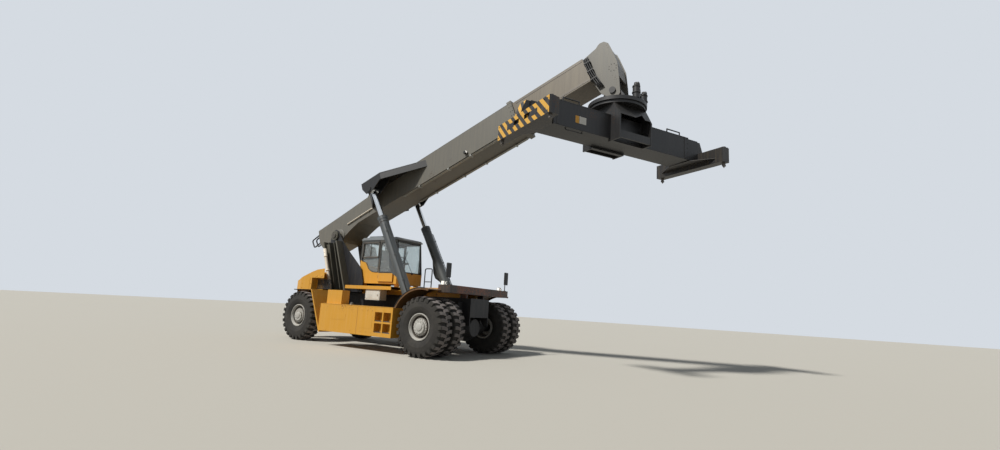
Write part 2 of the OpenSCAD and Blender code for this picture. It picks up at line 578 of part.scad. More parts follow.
module twistlock(side, x) color(steel) spreader_frame() scale([side, side, 1]) translate([x * lock_w / 2, spreader_len / 2 - lock_in, 0]) {
    translate([0, 0, -60]) cylinder(r = 40, h = 60 + end_h + 30, $fn = 32);
    translate([0, 0, -100]) linear_extrude(50) intersection() {
        circle(r = 52, $fn = 48);
        square([62, 120], center = true);
    }
    translate([0, 0, -lock_tip]) cylinder(r1 = 12, r2 = 30, h = 41, $fn = 32);
    translate([0, 0, end_h + 20]) cylinder(r = 60, h = 25, $fn = 32);
}

// Cab

floor_t = 60;
front_lean = 150;
cab_front = cab_back - cab_len;
module cab_outline() polygon([[-cab_back, cab_z], [-cab_front, cab_z], [-cab_front, 2460], [-cab_front - front_lean, cab_top], [-cab_back, cab_top]]);
door_x = -cab_back + door_hinge;
door_y = -cab_w / 2 - 30;
// From the hinge's axis to the door's edge beside it
notch = 36;
// The tub below the waist, and the frame of posts above it
module cab_body() color(yellow) car() {
    intersection() {
        cab_shell();
        cab_waist();
    }
    hinge_pin(cab_z + 200);
}
module cab_frame() color(grey) car() {
    difference() {
        cab_shell();
        translate([0, 0, 0.3]) cab_waist();
    }
    hinge_pin(cab_z + 1200);
}
// A hinge pin of the door on its bracket
module hinge_pin(z) {
    translate([door_x, door_y, z]) cylinder(r = 12, h = 100, $fn = 24);
    translate([door_x - 20, door_y - 20, z - 20]) cube([40, 51, 20.5]);
}
module cab_waist() translate([-cab_back, 700, 0]) rotate([90, 0, 0]) linear_extrude(1400)
    polygon([[-10, cab_z - 10], [-10, 2850], [100, 2850], [260, 2810], [345, 2735], [415, 2625], [500, 2535], [630, 2475], [780, 2455],
        [cab_len + 10, 2455], [cab_len + 10, cab_z - 10]]);
// Side glass: its lower edge drops in a curve behind the door post; columns are x ahead of the cab's back, and z
pane_edge = [[70, 3490], [70, 2830], [250, 2790], [330, 2720], [400, 2610], [490, 2520], [620, 2460], [780, 2440], [900, 2440], [900, 3490]];
module cab_shell() difference() {
    y = cab_w / 2;
    translate([0, y, 0]) rotate([90, 0, 0]) linear_extrude(cab_w) intersection() {
        cab_outline();
        translate([-cab_back, cab_z]) square([cab_len, cab_top - cab_z - 90.3]);
    }
    side_plate([[-cab_back + cab_wall, cab_z + floor_t], [-cab_front - cab_wall, cab_z + floor_t], [-cab_front - cab_wall, 2460],
        [-cab_front - front_lean - cab_wall, cab_top + 1], [-cab_back + cab_wall, cab_top + 1]], -y + cab_wall, y - cab_wall);
    // Windows in both sides, the back and the front, and the doorway on the right
    for (m = [0, 1]) mirror([0, m, 0]) translate([-cab_back, y + 10, 0]) rotate([90, 0, 0]) linear_extrude(100) polygon(pane_edge);
    translate([-cab_back + door_hinge - 10, -y - 100, cab_z + floor_t]) cube([720, 200, 1420]);
    translate([-cab_back + 960, y - 100, 2440]) cube([700, 200, 1050]);
    translate([-cab_back - 10, -y + 110, 2700]) cube([200, cab_w - 220, 790]);
    translate([-cab_front - 300, -y + 70, 2480]) cube([400, cab_w - 140, 1010]);
}
// Roof: a crowned lid with a drip rail and a cooling unit
module cab_roof() color(grey) car() {
    x0 = -cab_back - 20;
    w = cab_w + 40;
    d = cab_len - front_lean + 80;
    translate([x0, -w / 2, cab_top - 90]) cube([d, w, 40]);
    side_plate([[x0 + 20, cab_top - 51], [x0 + d - 20, cab_top - 51], [x0 + d - 60, cab_top], [x0 + 60, cab_top]], -w / 2 + 20, w / 2 - 20);
    side_plate([[x0 + 120, cab_top - 1], [x0 + 820, cab_top - 1], [x0 + 780, cab_top + 80], [x0 + 180, cab_top + 80]], -w / 2 + 190, w / 2 - 190);
}
// Panes, 0.3 short of their openings all round
module cab_glass() color("#8fa3a3", 0.5) car() {
    y = cab_w / 2;
    t = 8;
    both_sides() translate([-cab_back, y - 22, 0]) rotate([90, 0, 0]) linear_extrude(t) polygon([for (p = pane_edge)
        [p[0] + (p[0] < 100 ? 0.3 : p[0] > 890 ? -0.3 : 0), p[1] + (p[1] > 3400 ? -0.3 : 0.6)]]);
    translate([-cab_back + 960.3, y - 30, 2440.3]) cube([699.4, t, 1049.4]);
    translate([-cab_back + 20, -y + 110.3, 2700.3]) cube([t, cab_w - 220.6, 789.4]);
    x0 = -cab_front - 28 - front_lean * 20 / (cab_top - 2460);
    x1 = -cab_front - 28 - front_lean * 1030 / (cab_top - 2460);
    side_plate([[x0, 2480.3], [x0 + t, 2480.3], [x1 + t, 3489.7], [x1, 3489.7]], -y + 70.3, y - 70.3);
}
module cab_door() color(grey) car() {
    difference() {
        translate([door_x + 10, -cab_w / 2 - 50, cab_z + floor_t + 10]) cube([680, 40, 1400]);
        for (z = [cab_z + 200, cab_z + 1200]) translate([door_x - 30, door_y - 30, z - 30]) cube([30 + notch, 60, 160]);
        translate([door_x + 60, -cab_w / 2 - 60, 2440]) cube([580, 60, 1010]);
    }
    for (z = [cab_z + 201, cab_z + 1201]) difference() {
        union() {
            translate([door_x, door_y, z]) cylinder(r = 20, h = 90, $fn = 32);
            translate([door_x, door_y - 9, z]) cube([notch + 10, 18, 90]);
        }
        translate([door_x, door_y, z - 1]) cylinder(r = 12 + fit, h = 92, $fn = 24);
    }
    // Pull handle
    for (z = [2480, 2760]) translate([door_x + 652, -cab_w / 2 - 80, z]) cube([16, 31, 16]);
    translate([door_x + 660, -cab_w / 2 - 80, 2470]) cylinder(r = 11, h = 316, $fn = 20);
}
module door_pane() color("#8fa3a3", 0.5) car() translate([door_x + 60.3, -cab_w / 2 - 34, 2440.3]) cube([579.4, 8, 1009.4]);
module seat() color(black) car() translate([-3700, -250, cab_z + floor_t + 0.3]) {
    translate([50, 50, 0]) cube([400, 400, 380]);
    translate([0, 0, 380]) cube([500, 500, 130]);
    translate([-60, 0, 450]) cube([130, 500, 700]);
}
module console() color(black) car() translate([-2850, -150, cab_z + floor_t + 0.3]) {
    translate([0, 100, 0]) cube([120, 100, 700]);
    translate([-60, 0, 650]) cube([240, 300, 60]);
}

chassis_frame();
deck();
cab_platform();
drive_axle();
steer_axle();
engine_block();
tank(-1);  // tank_right
tank(1);  // tank_left
fender(-1);  // fender_right
fender(1);  // fender_left
front_platform();
front_beam();
counterweight();
boom_tower();
electric_box();
lamps();
mirrors();
tyres_front(-1);  // tyres_front_right
rims_front(-1);  // rims_front_right
tyres_front(1);  // tyres_front_left
rims_front(1);  // rims_front_left
knuckle(-1);  // knuckle_right
knuckle(1);  // knuckle_left
tyre_rear(-1);  // tyre_rear_right
rim_rear(-1);  // rim_rear_right
tyre_rear(1);  // tyre_rear_left
rim_rear(1);  // rim_rear_left
boom_outer();
crosshead();
boom_collar();
boom_inner();
boom_nose();
barrel(-1);  // barrel_right
barrel(1);  // barrel_left
rod(-1);  // rod_right
rod(1);  // rod_left
hanger();
slew_drives();
slew_tower();
spreader_beam();
slide_beam(-1);  // slide_beam_right
slide_beam(1);  // slide_beam_left
end_beam(-1);  // end_beam_right
end_beam(1);  // end_beam_left
twistlock(-1, 1);  // lock_right_rear
twistlock(-1, -1);  // lock_right_front
twistlock(1, -1);  // lock_left_rear
twistlock(1, 1);  // lock_left_front
cab_body();
cab_frame();
cab_roof();
cab_glass();
cab_door();
door_pane();
seat();
console();
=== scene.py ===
# Reach stacker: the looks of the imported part, piece by piece in the order it is put together.
import math

import bmesh
import bpy
from mathutils import Matrix, Vector


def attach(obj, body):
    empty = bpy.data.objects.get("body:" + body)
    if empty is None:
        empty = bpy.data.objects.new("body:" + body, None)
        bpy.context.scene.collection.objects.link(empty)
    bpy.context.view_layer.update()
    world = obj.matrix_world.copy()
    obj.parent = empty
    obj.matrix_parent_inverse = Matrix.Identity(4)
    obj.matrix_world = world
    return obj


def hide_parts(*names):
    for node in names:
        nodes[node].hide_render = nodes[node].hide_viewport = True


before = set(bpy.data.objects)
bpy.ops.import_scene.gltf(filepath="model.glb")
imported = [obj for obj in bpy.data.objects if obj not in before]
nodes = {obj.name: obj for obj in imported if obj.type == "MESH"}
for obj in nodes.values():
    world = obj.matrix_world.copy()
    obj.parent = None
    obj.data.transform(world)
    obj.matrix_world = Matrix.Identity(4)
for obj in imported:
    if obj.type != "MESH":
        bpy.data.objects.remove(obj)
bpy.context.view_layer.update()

# The ground, the light and the camera. The machine stands on a pale yard, under a hazy sky and a low sun.
# The camera's lens and place come from a fit to known sizes of the machine in the photograph. The drive axle
# stands ahead of the frame's origin by SHIFT_X.
SHIFT_X = 0.148566
CAMERA_PLACE = (9.279 + SHIFT_X, -12.452, 1.437)
CAMERA_YAW, CAMERA_PITCH, CAMERA_ROLL = 33.242, 9.725, 3.411
FILM_WIDTH, FOCAL_PIXELS, PICTURE_PIXELS = 36, 492, 1000
FARTHEST_SEEN = 300
SUN_POWER, SUN_WIDTH, SUN_TURN = 3.9, 6, (42, 4, -28)
YARD_REACH = 90


def linear(code):
    """A hex colour as written in sRGB, turned to linear."""
    values = [int(code[i:i + 2], 16) / 255 for i in (1, 3, 5)]
    return tuple(v / 12.92 if v <= 0.04045 else ((v + 0.055) / 1.055) ** 2.4 for v in values) + (1.0,)


def add(tree, kind, *inputs, **settings):
    """Adds a node. An input, in order or by name, is a value, a socket, or a node for its first output."""
    node = tree.nodes.new("ShaderNode" + kind)
    filled = list(zip(node.inputs, inputs))
    for name, value in settings.items():
        if hasattr(node, name):
            setattr(node, name, value)
        else:
            filled.append((node.inputs[name.replace("_", " ")], value))
    for socket, value in filled:
        source = value.outputs[0] if hasattr(value, "outputs") else value
        if isinstance(source, bpy.types.NodeSocket):
            tree.links.new(source, socket)
        else:
            socket.default_value = source
    return node


def new_tree(name):
    """A material with an empty node tree."""
    material = bpy.data.materials.new(name)
    material.use_nodes = True
    material.node_tree.nodes.clear()
    return material, material.node_tree


def looked_at(tree):
    """One where a camera, mirror or glass ray arrives, and nothing elsewhere."""
    path = add(tree, "LightPath")
    seen = path.outputs["Is Camera Ray"]
    for ray in ("Is Glossy Ray", "Is Transmission Ray"):
        seen = add(tree, "Math", seen, path.outputs[ray], operation="MAXIMUM")
    return seen


scene = bpy.context.scene
scene.view_settings.view_transform = "Standard"
world = bpy.data.worlds.new("hazy_sky")
scene.world = world
world.use_nodes = True
tree = world.node_tree
tree.nodes.clear()
sky_light = add(tree, "Background", Color=linear("#DDE6F0"), Strength=0.2)
sky_seen = add(tree, "Background", Color=linear("#D5DBE2"), Strength=1.0)
sky = add(tree, "MixShader", looked_at(tree), sky_light, sky_seen)
add(tree, "OutputWorld", sky)

sun_data = bpy.data.lights.new("low_sun", "SUN")
sun_data.energy = SUN_POWER
sun_data.angle = math.radians(SUN_WIDTH)
sun_data.color = (1.0, 0.97, 0.92)
sun = bpy.data.objects.new("low_sun", sun_data)
sun.rotation_euler = [math.radians(a) for a in SUN_TURN]
scene.collection.objects.link(sun)

data = bpy.data.meshes.new("yard")
square = bmesh.new()
bmesh.ops.create_grid(square, x_segments=1, y_segments=1, size=YARD_REACH)
square.to_mesh(data)
square.free()
yard = bpy.data.objects.new("yard", data)
scene.collection.objects.link(yard)
# Brushed concrete, pale and matt, and darker for the light that it throws back
concrete, tree = new_tree("pale_yard")
ground = add(tree, "MixRGB", looked_at(tree), Color1=linear("#8A867F"), Color2=linear("#BDBAB1"))
surface = add(tree, "BsdfPrincipled", Base_Color=ground, Roughness=0.92)
add(tree, "OutputMaterial", surface)
data.materials.append(concrete)

yaw, pitch, roll = (math.radians(a) for a in (CAMERA_YAW, CAMERA_PITCH, CAMERA_ROLL))
ahead = Vector((-math.sin(yaw) * math.cos(pitch), math.cos(yaw) * math.cos(pitch), math.sin(pitch)))
level = Vector((math.cos(yaw), math.sin(yaw), 0))
upright = level.cross(ahead)
right = level * math.cos(roll) + upright * math.sin(roll)
up = upright * math.cos(roll) - level * math.sin(roll)
camera_data = bpy.data.cameras.new("camera")
camera_data.lens = FILM_WIDTH * FOCAL_PIXELS / PICTURE_PIXELS
camera_data.sensor_width = FILM_WIDTH
camera_data.sensor_fit = "HORIZONTAL"
camera_data.clip_end = FARTHEST_SEEN
camera = bpy.data.objects.new("camera", camera_data)
camera.matrix_world = Matrix.Translation(CAMERA_PLACE) @ Matrix((right, up, -ahead)).transposed().to_4x4()
scene.collection.objects.link(camera)
scene.camera = camera

# Chassis: welded plate, sprayed with black alkyd enamel over a primer. The enamel is satin, with a faint
# orange peel, pale dust on what lies flat, rain streaks down what stands, and small chips down to the rust.
CAR = Matrix.Translation((SHIFT_X, 0, 0))
AXLE_HEIGHT, WHEELBASE = 0.835, 6.0
SIDES = ((-1, "right"), (1, "left"))
WELD = 0.00002


def enamel(name, paint, dust, rust, dust_share=0.35, chips=0.58, gloss=0.42, streaks=0.25, colour=None):
    # Sprayed enamel. Clouds of dust are 0.9 m wide, chips 40 mm, and rain streaks 70 mm wide and over a metre
    # long. The orange peel is 2 mm in fact, and drawn 6 mm wide so that it shows.
    material, tree = new_tree(name)
    coordinates = add(tree, "TexCoord")
    place = coordinates.outputs["Object"]
    cloud = add(tree, "TexNoise", place, Scale=1.1, Detail=6.0, Roughness=0.62)
    fine = add(tree, "TexNoise", place, Scale=26.0, Detail=5.0, Roughness=0.7)
    stretch = add(tree, "Mapping", place, Scale=(9.0, 9.0, 0.55))
    run = add(tree, "TexNoise", stretch, Scale=1.6, Detail=4.0, Roughness=0.6)
    # Rain streaks and sun bleaching change the paint a little
    streak = add(tree, "MapRange", run, From_Min=0.42, From_Max=0.72, To_Max=streaks)
    under = colour(tree, coordinates) if colour else linear(paint)
    bleach = add(tree, "MixRGB", streak, under, Color2=linear(dust))
    # Dust lies where the surface faces up
    axes = add(tree, "SeparateXYZ", coordinates.outputs["Normal"])
    flat = add(tree, "MapRange", axes.outputs[2], From_Min=0.35, From_Max=0.95)
    patch = add(tree, "MapRange", cloud, From_Min=0.25, From_Max=0.7, To_Min=0.25)
    amount = add(tree, "Math", flat, patch, operation="MULTIPLY")
    share = add(tree, "Math", amount, dust_share, operation="MULTIPLY")
    dusty = add(tree, "MixRGB", share, bleach, Color2=linear(dust))
    # Chips show where the clouds and the fine grain are both strong
    mixed = add(tree, "Math", cloud, fine, operation="MULTIPLY")
    chip = add(tree, "MapRange", mixed, From_Min=chips * 0.62, From_Max=chips * 0.68)
    body = add(tree, "MixRGB", chip, dusty, Color2=linear(rust))
    rough = add(tree, "MapRange", fine, To_Min=gloss - 0.08, To_Max=gloss + 0.16)
    peel = add(tree, "TexNoise", place, Scale=160.0, Detail=2.0)
    bump = add(tree, "Bump", Height=peel, Strength=0.05, Distance=0.002)
    coat = add(tree, "BsdfPrincipled", Base_Color=body, Roughness=rough, Normal=bump)
    add(tree, "OutputMaterial", coat)
    return material


def dress(material, *names):
    """Gives carried-over CAD nodes a material."""
    for name in names:
        data = nodes[name].data
        data.materials.clear()
        data.materials.append(material)


def plain_material(name, colour, roughness, metallic=0.0, speck=0.12):
    """A simple finish whose colour and roughness vary a little, in specks about 30 mm wide."""
    material, tree = new_tree(name)
    place = add(tree, "TexCoord").outputs["Object"]
    noise = add(tree, "TexNoise", place, Scale=30.0, Detail=5.0, Roughness=0.6)
    darker = tuple(c * (1 - 2 * speck) for c in linear(colour)[:3]) + (1.0,)
    body = add(tree, "MixRGB", noise, Color1=darker, Color2=linear(colour))
    rough = add(tree, "MapRange", noise, To_Min=max(0.05, roughness - 0.1), To_Max=roughness + 0.1)
    skin = add(tree, "BsdfPrincipled", Base_Color=body, Roughness=rough, Metallic=metallic)
    add(tree, "OutputMaterial", skin)
    return material


black = enamel("soot_black_enamel", "#151517", "#524E47", "#2A1E17", dust_share=0.3, gloss=0.55)
dress(black, "chassis_frame", "deck", "drive_axle", "steer_axle", "knuckle_right", "knuckle_left")
engine_grey = enamel("oily_engine_grey", "#3C3D3D", "#5A544A", "#2A211A", chips=0.5)
dress(engine_grey, "engine_block")
# Ground chrome mirrors the sky, bare steel is dull and brown, zinc is bright grey, and the blacks are satin
chrome = plain_material("hard_chrome", "#D8DADB", 0.16, metallic=1.0, speck=0.04)
bare_steel = plain_material("bare_steel", "#6F6A64", 0.5, metallic=0.7, speck=0.2)
zinc = plain_material("zinc_plated_steel", "#A9A8A2", 0.38, metallic=0.85, speck=0.15)
plastic = plain_material("black_plastic", "#1D1D1E", 0.55)
hose_black = plain_material("painted_pipe_black", "#1A1A1B", 0.5)

# Axle trim: cap screws of the differential's housing and of the flanges beside it, and the steering cylinder
# that lies in the trough of the steer axle, with a chromed rod end on each side.


bench = bmesh.new()


def finished(name, material, body="chassis", place=CAR):
    """Turns what is on the bench into a piece that rides on a body; place is where its own axes stand."""
    bmesh.ops.transform(bench, matrix=place, verts=bench.verts)
    bmesh.ops.remove_doubles(bench, verts=bench.verts, dist=WELD)
    bmesh.ops.recalc_face_normals(bench, faces=bench.faces)
    data = bpy.data.meshes.new(name)
    bench.to_mesh(data)
    bench.clear()
    data.materials.append(material)
    piece = bpy.data.objects.new(name, data)
    scene.collection.objects.link(piece)
    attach(piece, body)
    return piece


def bar(start, end, radius, end_radius=None, steps=20):
    """A round or six-sided bar between two points."""
    start, end = Vector(start), Vector(end)
    far = radius if end_radius is None else end_radius
    made = bmesh.ops.create_cone(bench, cap_ends=True, segments=steps, radius1=radius, radius2=far,
                                 depth=(end - start).length)["verts"]
    turn = (end - start).to_track_quat("Z", "Y").to_matrix()
    bmesh.ops.rotate(bench, verts=made, cent=(0, 0, 0), matrix=turn)
    bmesh.ops.translate(bench, verts=made, vec=(start + end) / 2)
    for face in {face for vert in made for face in vert.link_faces}:
        face.smooth = steps > 8 and len(face.verts) == 4


def bolts(places, way, size, height):
    """A hexagonal bolt head at each place, standing along one direction."""
    for place in places:
        bar(place, Vector(place) + Vector(way) * height, size, size * 0.94, steps=6)


def bolt_circle(centre, radius, count, way, size, height, start=0.0):
    """Bolt heads spaced evenly on a circle that is square to the way they stand."""
    across, along = [axis for axis in Matrix.Identity(3) if axis.dot(Vector(way)) == 0]
    turns = [2 * math.pi * i / count + start for i in range(count)]
    places = [Vector(centre) + radius * (math.cos(t) * across + math.sin(t) * along) for t in turns]
    bolts(places, way, size, height)


def in_trough(y):
    """A point on the steering cylinder's middle line."""
    return (-WHEELBASE - 0.166, y, AXLE_HEIGHT)


bolt_circle((0.001, 0, AXLE_HEIGHT), 0.405, 24, (1, 0, 0), 0.014, 0.008)
for side in (-1, 1):
    bolt_circle((0, side * 0.85, AXLE_HEIGHT), 0.175, 16, (0, side, 0), 0.012, 0.012)
finished("drive_axle_bolts", bare_steel)
bar(in_trough(-0.42), in_trough(0.42), 0.058, steps=32)
for side in (-1, 1):
    bar(in_trough(side * 0.40), in_trough(side * 0.445), 0.068, steps=32)
finished("steering_cylinder", black)
bar(in_trough(-0.69), in_trough(0.69), 0.03, steps=32)
finished("steering_rod", chrome)

# Tyres: 18.00-25 bias-ply industrial tyres of moulded black rubber, greyed by yard dust. Two rows of deep
# lugs stand on the carcass, half a pitch apart, and their shoulders run down on to the sidewall.
TYRE_RADIUS, LUG_COUNT = 0.835, 26
LUG_FOOT, LUG_HALF, LUG_REACH = 0.790, 0.050, 0.282
CARCASS = [(0.150, 0.357), (0.176, 0.372), (0.205, 0.408), (0.238, 0.470), (0.2505, 0.545), (0.2535, 0.556),
           (0.2505, 0.567), (0.249, 0.640), (0.238, 0.705), (0.218, 0.757), (0.180, 0.787), (0.090, 0.801),
           (0.0, 0.803)]
CARCASS_STEPS = 102
FRONT_Y, REAR_Y = (1.8355, 1.2395), 1.390


def from_axle(tree, place):
    """Distance of a point from the axle line that is nearer to it."""
    axes = add(tree, "SeparateXYZ", place)
    ends = []
    for x in (SHIFT_X, SHIFT_X - WHEELBASE):
        along = add(tree, "Math", axes, x, operation="SUBTRACT")
        ends.append(add(tree, "Math", along, operation="ABSOLUTE"))
    near = add(tree, "Math", ends[0], ends[1], operation="MINIMUM")
    high = add(tree, "Math", axes.outputs[2], AXLE_HEIGHT, operation="SUBTRACT")
    arm = add(tree, "CombineXYZ", near, high)
    return add(tree, "VectorMath", arm, operation="LENGTH").outputs["Value"]


def tyre_rubber():
    # Vulcanised rubber filled with carbon black: matt, with pale dust in patches 0.3 m wide, and a grit that
    # is drawn 14 mm wide so that it shows
    material, tree = new_tree("dusty_tyre_rubber")
    place = add(tree, "TexCoord").outputs["Object"]
    cloud = add(tree, "TexNoise", place, Scale=3.2, Detail=7.0, Roughness=0.65)
    grit = add(tree, "TexNoise", place, Scale=70.0, Detail=4.0, Roughness=0.7)
    both = add(tree, "Math", cloud, grit, operation="ADD")
    share = add(tree, "MapRange", both, From_Min=0.82, From_Max=1.25, To_Min=0.05, To_Max=0.5)
    body = add(tree, "MixRGB", share, Color1=linear("#1B1A19"), Color2=linear("#4B4740"))
    # The lugs' tops carry pale yard dust
    top = add(tree, "MapRange", from_axle(tree, place), From_Min=0.812, From_Max=0.826, To_Max=0.85)
    body = add(tree, "MixRGB", top, body, Color2=linear("#8D8683"))
    bump = add(tree, "Bump", Height=grit, Strength=0.25, Distance=0.004)
    skin = add(tree, "BsdfPrincipled", Base_Color=body, Normal=bump, Roughness=0.86)
    add(tree, "OutputMaterial", skin)
    return material


def lathe(profile, steps):
    """Turns a profile of (along, radius) pairs a full turn about the Y axis."""
    verts = [bench.verts.new((0, along, radius)) for along, radius in profile]
    edges = [bench.edges.new(pair) for pair in zip(verts, verts[1:])]
    before = set(bench.faces)
    bmesh.ops.spin(bench, geom=verts + edges, cent=(0, 0, 0), axis=(0, 1, 0), angle=2 * math.pi, steps=steps,
                   use_merge=True)
    for face in set(bench.faces) - before:
        face.smooth = True


def lug_mesh():
    """One lug: a cube with rounded top edges, bent over the tread from its middle line to the shoulder."""
    lug = bmesh.new()
    bmesh.ops.create_cube(lug, size=1)
    long_edges = [e for e in lug.edges if abs(e.verts[0].co.y - e.verts[1].co.y) > 0.5]
    bmesh.ops.subdivide_edges(lug, edges=long_edges, cuts=4)
    top_edges = [e for e in lug.edges if min(v.co.z for v in e.verts) > 0.4 and len(e.link_faces) == 2
                 and abs(e.link_faces[0].normal.z - e.link_faces[1].normal.z) > 0.5]
    bmesh.ops.bevel(lug, geom=top_edges, offset=0.07, offset_type="OFFSET", segments=2, profile=0.5,
                    affect="EDGES", material=-1)
    for vert in lug.verts:
        out, across, high = vert.co.y + 0.5, vert.co.x, vert.co.z + 0.5
        top = TYRE_RADIUS - 0.001 - 0.020 * out ** 4
        foot = LUG_FOOT - 0.085 * max(0, out - 0.72) / 0.28
        radius = foot + (top - foot) * high
        half = LUG_HALF + 0.007 * out - 0.008 * high
        along = -0.028 + LUG_REACH * out - 0.010 * high * out
        sweep = 0.048 * (out - 0.5) + 0.026 * math.sin(out * math.pi)
        angle = (2 * across * half + sweep) / TYRE_RADIUS
        vert.co = (radius * math.sin(angle), along, -radius * math.cos(angle))
    mesh = bpy.data.meshes.new("lug")
    lug.to_mesh(mesh)
    lug.free()
    return mesh


def tyre(name, node, body, x, y):
    lathe([(-a, r) for a, r in CARCASS[:-1]] + CARCASS[::-1], CARCASS_STEPS)
    for side, offset in ((1, 0.0), (-1, 0.5)):
        for i in range(LUG_COUNT):
            count = len(bench.verts)
            bench.from_mesh(lug)
            bench.verts.ensure_lookup_table()
            new = bench.verts[count:]
            bmesh.ops.scale(bench, verts=new, vec=(1, side, 1))
            turn = Matrix.Rotation(2 * math.pi * (i + offset) / LUG_COUNT, 3, "Y")
            bmesh.ops.rotate(bench, verts=new, cent=(0, 0, 0), matrix=turn)
    place = CAR @ Matrix.Translation((x, y, AXLE_HEIGHT))
    piece = finished(name, rubber, body, place)
    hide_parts(node)


rubber = tyre_rubber()
lug = lug_mesh()
for side, word in SIDES:
    for y, place in zip(FRONT_Y, ("outer", "inner")):
        tyre(f"tyre_front_{word}_{place}", f"tyres_front_{word}", f"wheel_front_{word}", 0, side * y)
    tyre(f"tyre_rear_{word}_piece", f"tyre_rear_{word}", f"wheel_rear_{word}", -WHEELBASE, side * REAR_Y)
bpy.data.meshes.remove(lug)

# Rims: welded steel discs in a five-piece rim, sprayed silver grey. A sprung lock ring sits round the outer
# edge, and the disc is bolted to the hub with hexagonal nuts.
RIM_HALF = 0.197
LOCK_RING = ((-0.004, 0.352), (0.014, 0.350), (0.018, 0.356), (0.014, 0.363), (0.004, 0.364))
HUB_CAP = ((0.010, 0.112), (0.026, 0.108), (0.031, 0.098), (0.031, 0.0001))


def rim_colour(tree, coordinates):
    """The ring and the hub's face are silver grey, and the well between them is painted dark, as painted
    shade in that recess.
    """
    far = from_axle(tree, coordinates.outputs["Object"])
    inner = add(tree, "MapRange", far, From_Min=0.228, From_Max=0.238)
    outer = add(tree, "MapRange", far, From_Min=0.318, From_Max=0.308)
    well = add(tree, "Math", inner, outer, operation="MULTIPLY")
    return add(tree, "MixRGB", well, Color1=linear("#B4B3AD"), Color2=linear("#55504A"))


rim_grey = enamel("silver_grey_enamel", "#B4B3AD", "#8E867A", "#6B4A33", streaks=0.3, colour=rim_colour)
dress(rim_grey, "rims_front_right", "rims_front_left", "rim_rear_right", "rim_rear_left")
for side, word in SIDES:
    for x, y, end in ((0, FRONT_Y[0], "front"), (-WHEELBASE, REAR_Y, "rear")):
        lathe([(side * (RIM_HALF + a), r) for a, r in LOCK_RING], 64)
        bolt_circle((0, side * (RIM_HALF - 0.042), 0), 0.215, 20, (0, side, 0), 0.0165, 0.020)
        bolt_circle((0, side * (RIM_HALF + 0.011), 0), 0.150, 10, (0, side, 0), 0.011, 0.012)
        lathe([(side * (RIM_HALF + a), r) for a, r in HUB_CAP], 40)
        place = CAR @ Matrix.Translation((x, side * y, AXLE_HEIGHT))
        finished(f"rim_trim_{end}_{word}", rim_grey, f"wheel_{end}_{word}", place)

# Side tanks: folded steel boxes in golden yellow, for fuel on one side and oil on the other, with a bolted
# step box in front. Each has screwed cover plates, a folded lip, a filler cap, a drain and step treads.
TANK_FACE, TANK_BACK, TANK_FRONT = 2.05, -4.10, -1.04
FILLER_X, FILLER_Y, TANK_TOP = -3.10, 1.78, 1.295
COVERS = ((-3.70, -3.02, 0.84, 1.02), (-2.36, -1.84, 0.66, 1.02))
yellow = enamel("golden_yellow_enamel", "#CE962F", "#DDBB84", "#7A4A22", dust_share=0.6, streaks=0.16)
dress(yellow, "tank_right", "tank_left", "cab_platform", "front_platform")


def block(corner, opposite, bevel):
    """A box between two opposite corners, with its edges rounded."""
    low, high = zip(*[sorted(pair) for pair in zip(corner, opposite)])
    made = bmesh.ops.create_cube(bench, size=1)["verts"]
    bmesh.ops.scale(bench, verts=made, vec=[b - a for a, b in zip(low, high)])
    bmesh.ops.translate(bench, verts=made, vec=[(a + b) / 2 for a, b in zip(low, high)])
    if bevel:
        edges = list(dict.fromkeys(edge for vert in made for edge in vert.link_edges))
        bmesh.ops.bevel(bench, geom=edges, offset=bevel, offset_type="OFFSET", segments=2, profile=0.5,
                        affect="EDGES", material=-1)


for side, word in SIDES:
    face = side * TANK_FACE
    out = (0, side, 0)
    for x0, x1, z0, z1 in COVERS:
        block((x0, face, z0), (x1, face + side * 0.004, z1), 0.0015)
        corners = [(x, z) for x in (x0 + 0.03, x1 - 0.03) for z in (z0 + 0.03, z1 - 0.03)]
        bolts([(x, face + side * 0.003, z) for x, z in corners], out, 0.006, 0.004)
    heads = [(x, face - side * 0.001, z) for z in (1.186, 0.56) for x in (-2.754, -2.30, -2.06, -1.87)]
    bolts(heads, out, 0.014, 0.012)
    block((TANK_BACK, face - side * 0.03, TANK_TOP + 0.001),
          (TANK_FRONT, face + side * 0.008, TANK_TOP + 0.017), 0.003)
    finished(f"tank_trim_{word}", yellow)
    y = side * FILLER_Y
    bar((FILLER_X, y, TANK_TOP), (FILLER_X, y, TANK_TOP + 0.040), 0.075, steps=32)
    bar((FILLER_X, y, TANK_TOP + 0.040), (FILLER_X, y, TANK_TOP + 0.077), 0.060, 0.052, steps=32)
    block((FILLER_X - 0.035, y - 0.012, TANK_TOP + 0.070),
          (FILLER_X + 0.035, y + 0.012, TANK_TOP + 0.093), 0.004)
    bar((-3.6, side * 1.55, 0.452), (-3.6, side * 1.55, 0.425), 0.025, steps=6)
    # Treads: three bars across the front of each step
    for x in (-1.74, -1.39):
        for z in (0.56, 0.88):
            for back in (0.012, 0.060, 0.108):
                y = side * (TANK_FACE - back)
                block((x + 0.006, y, z), (x + 0.294, y - side * 0.018, z + 0.022), 0.003)
    finished(f"tank_fittings_{word}", bare_steel)

# Front fenders: rolled sheet over the dual wheels, painted with the frame, brown with road dirt and darkened
# as painted shade, with a rolled rubber bead along the outer edge and bolts beside it.
BEAD_ARC = [math.radians(a) for a in range(152, 75, -7)]
fender_brown = enamel("dirt_and_shade_fender_enamel", "#6A4A27", "#8A7356", "#3A2618", dust_share=0.5, chips=0.5)
dress(fender_brown, "fender_right", "fender_left")


def on_fender(turns, radius, y):
    """Points over the drive axle, at a radius from it."""
    return [(radius * math.cos(a), y, AXLE_HEIGHT + radius * math.sin(a)) for a in turns]


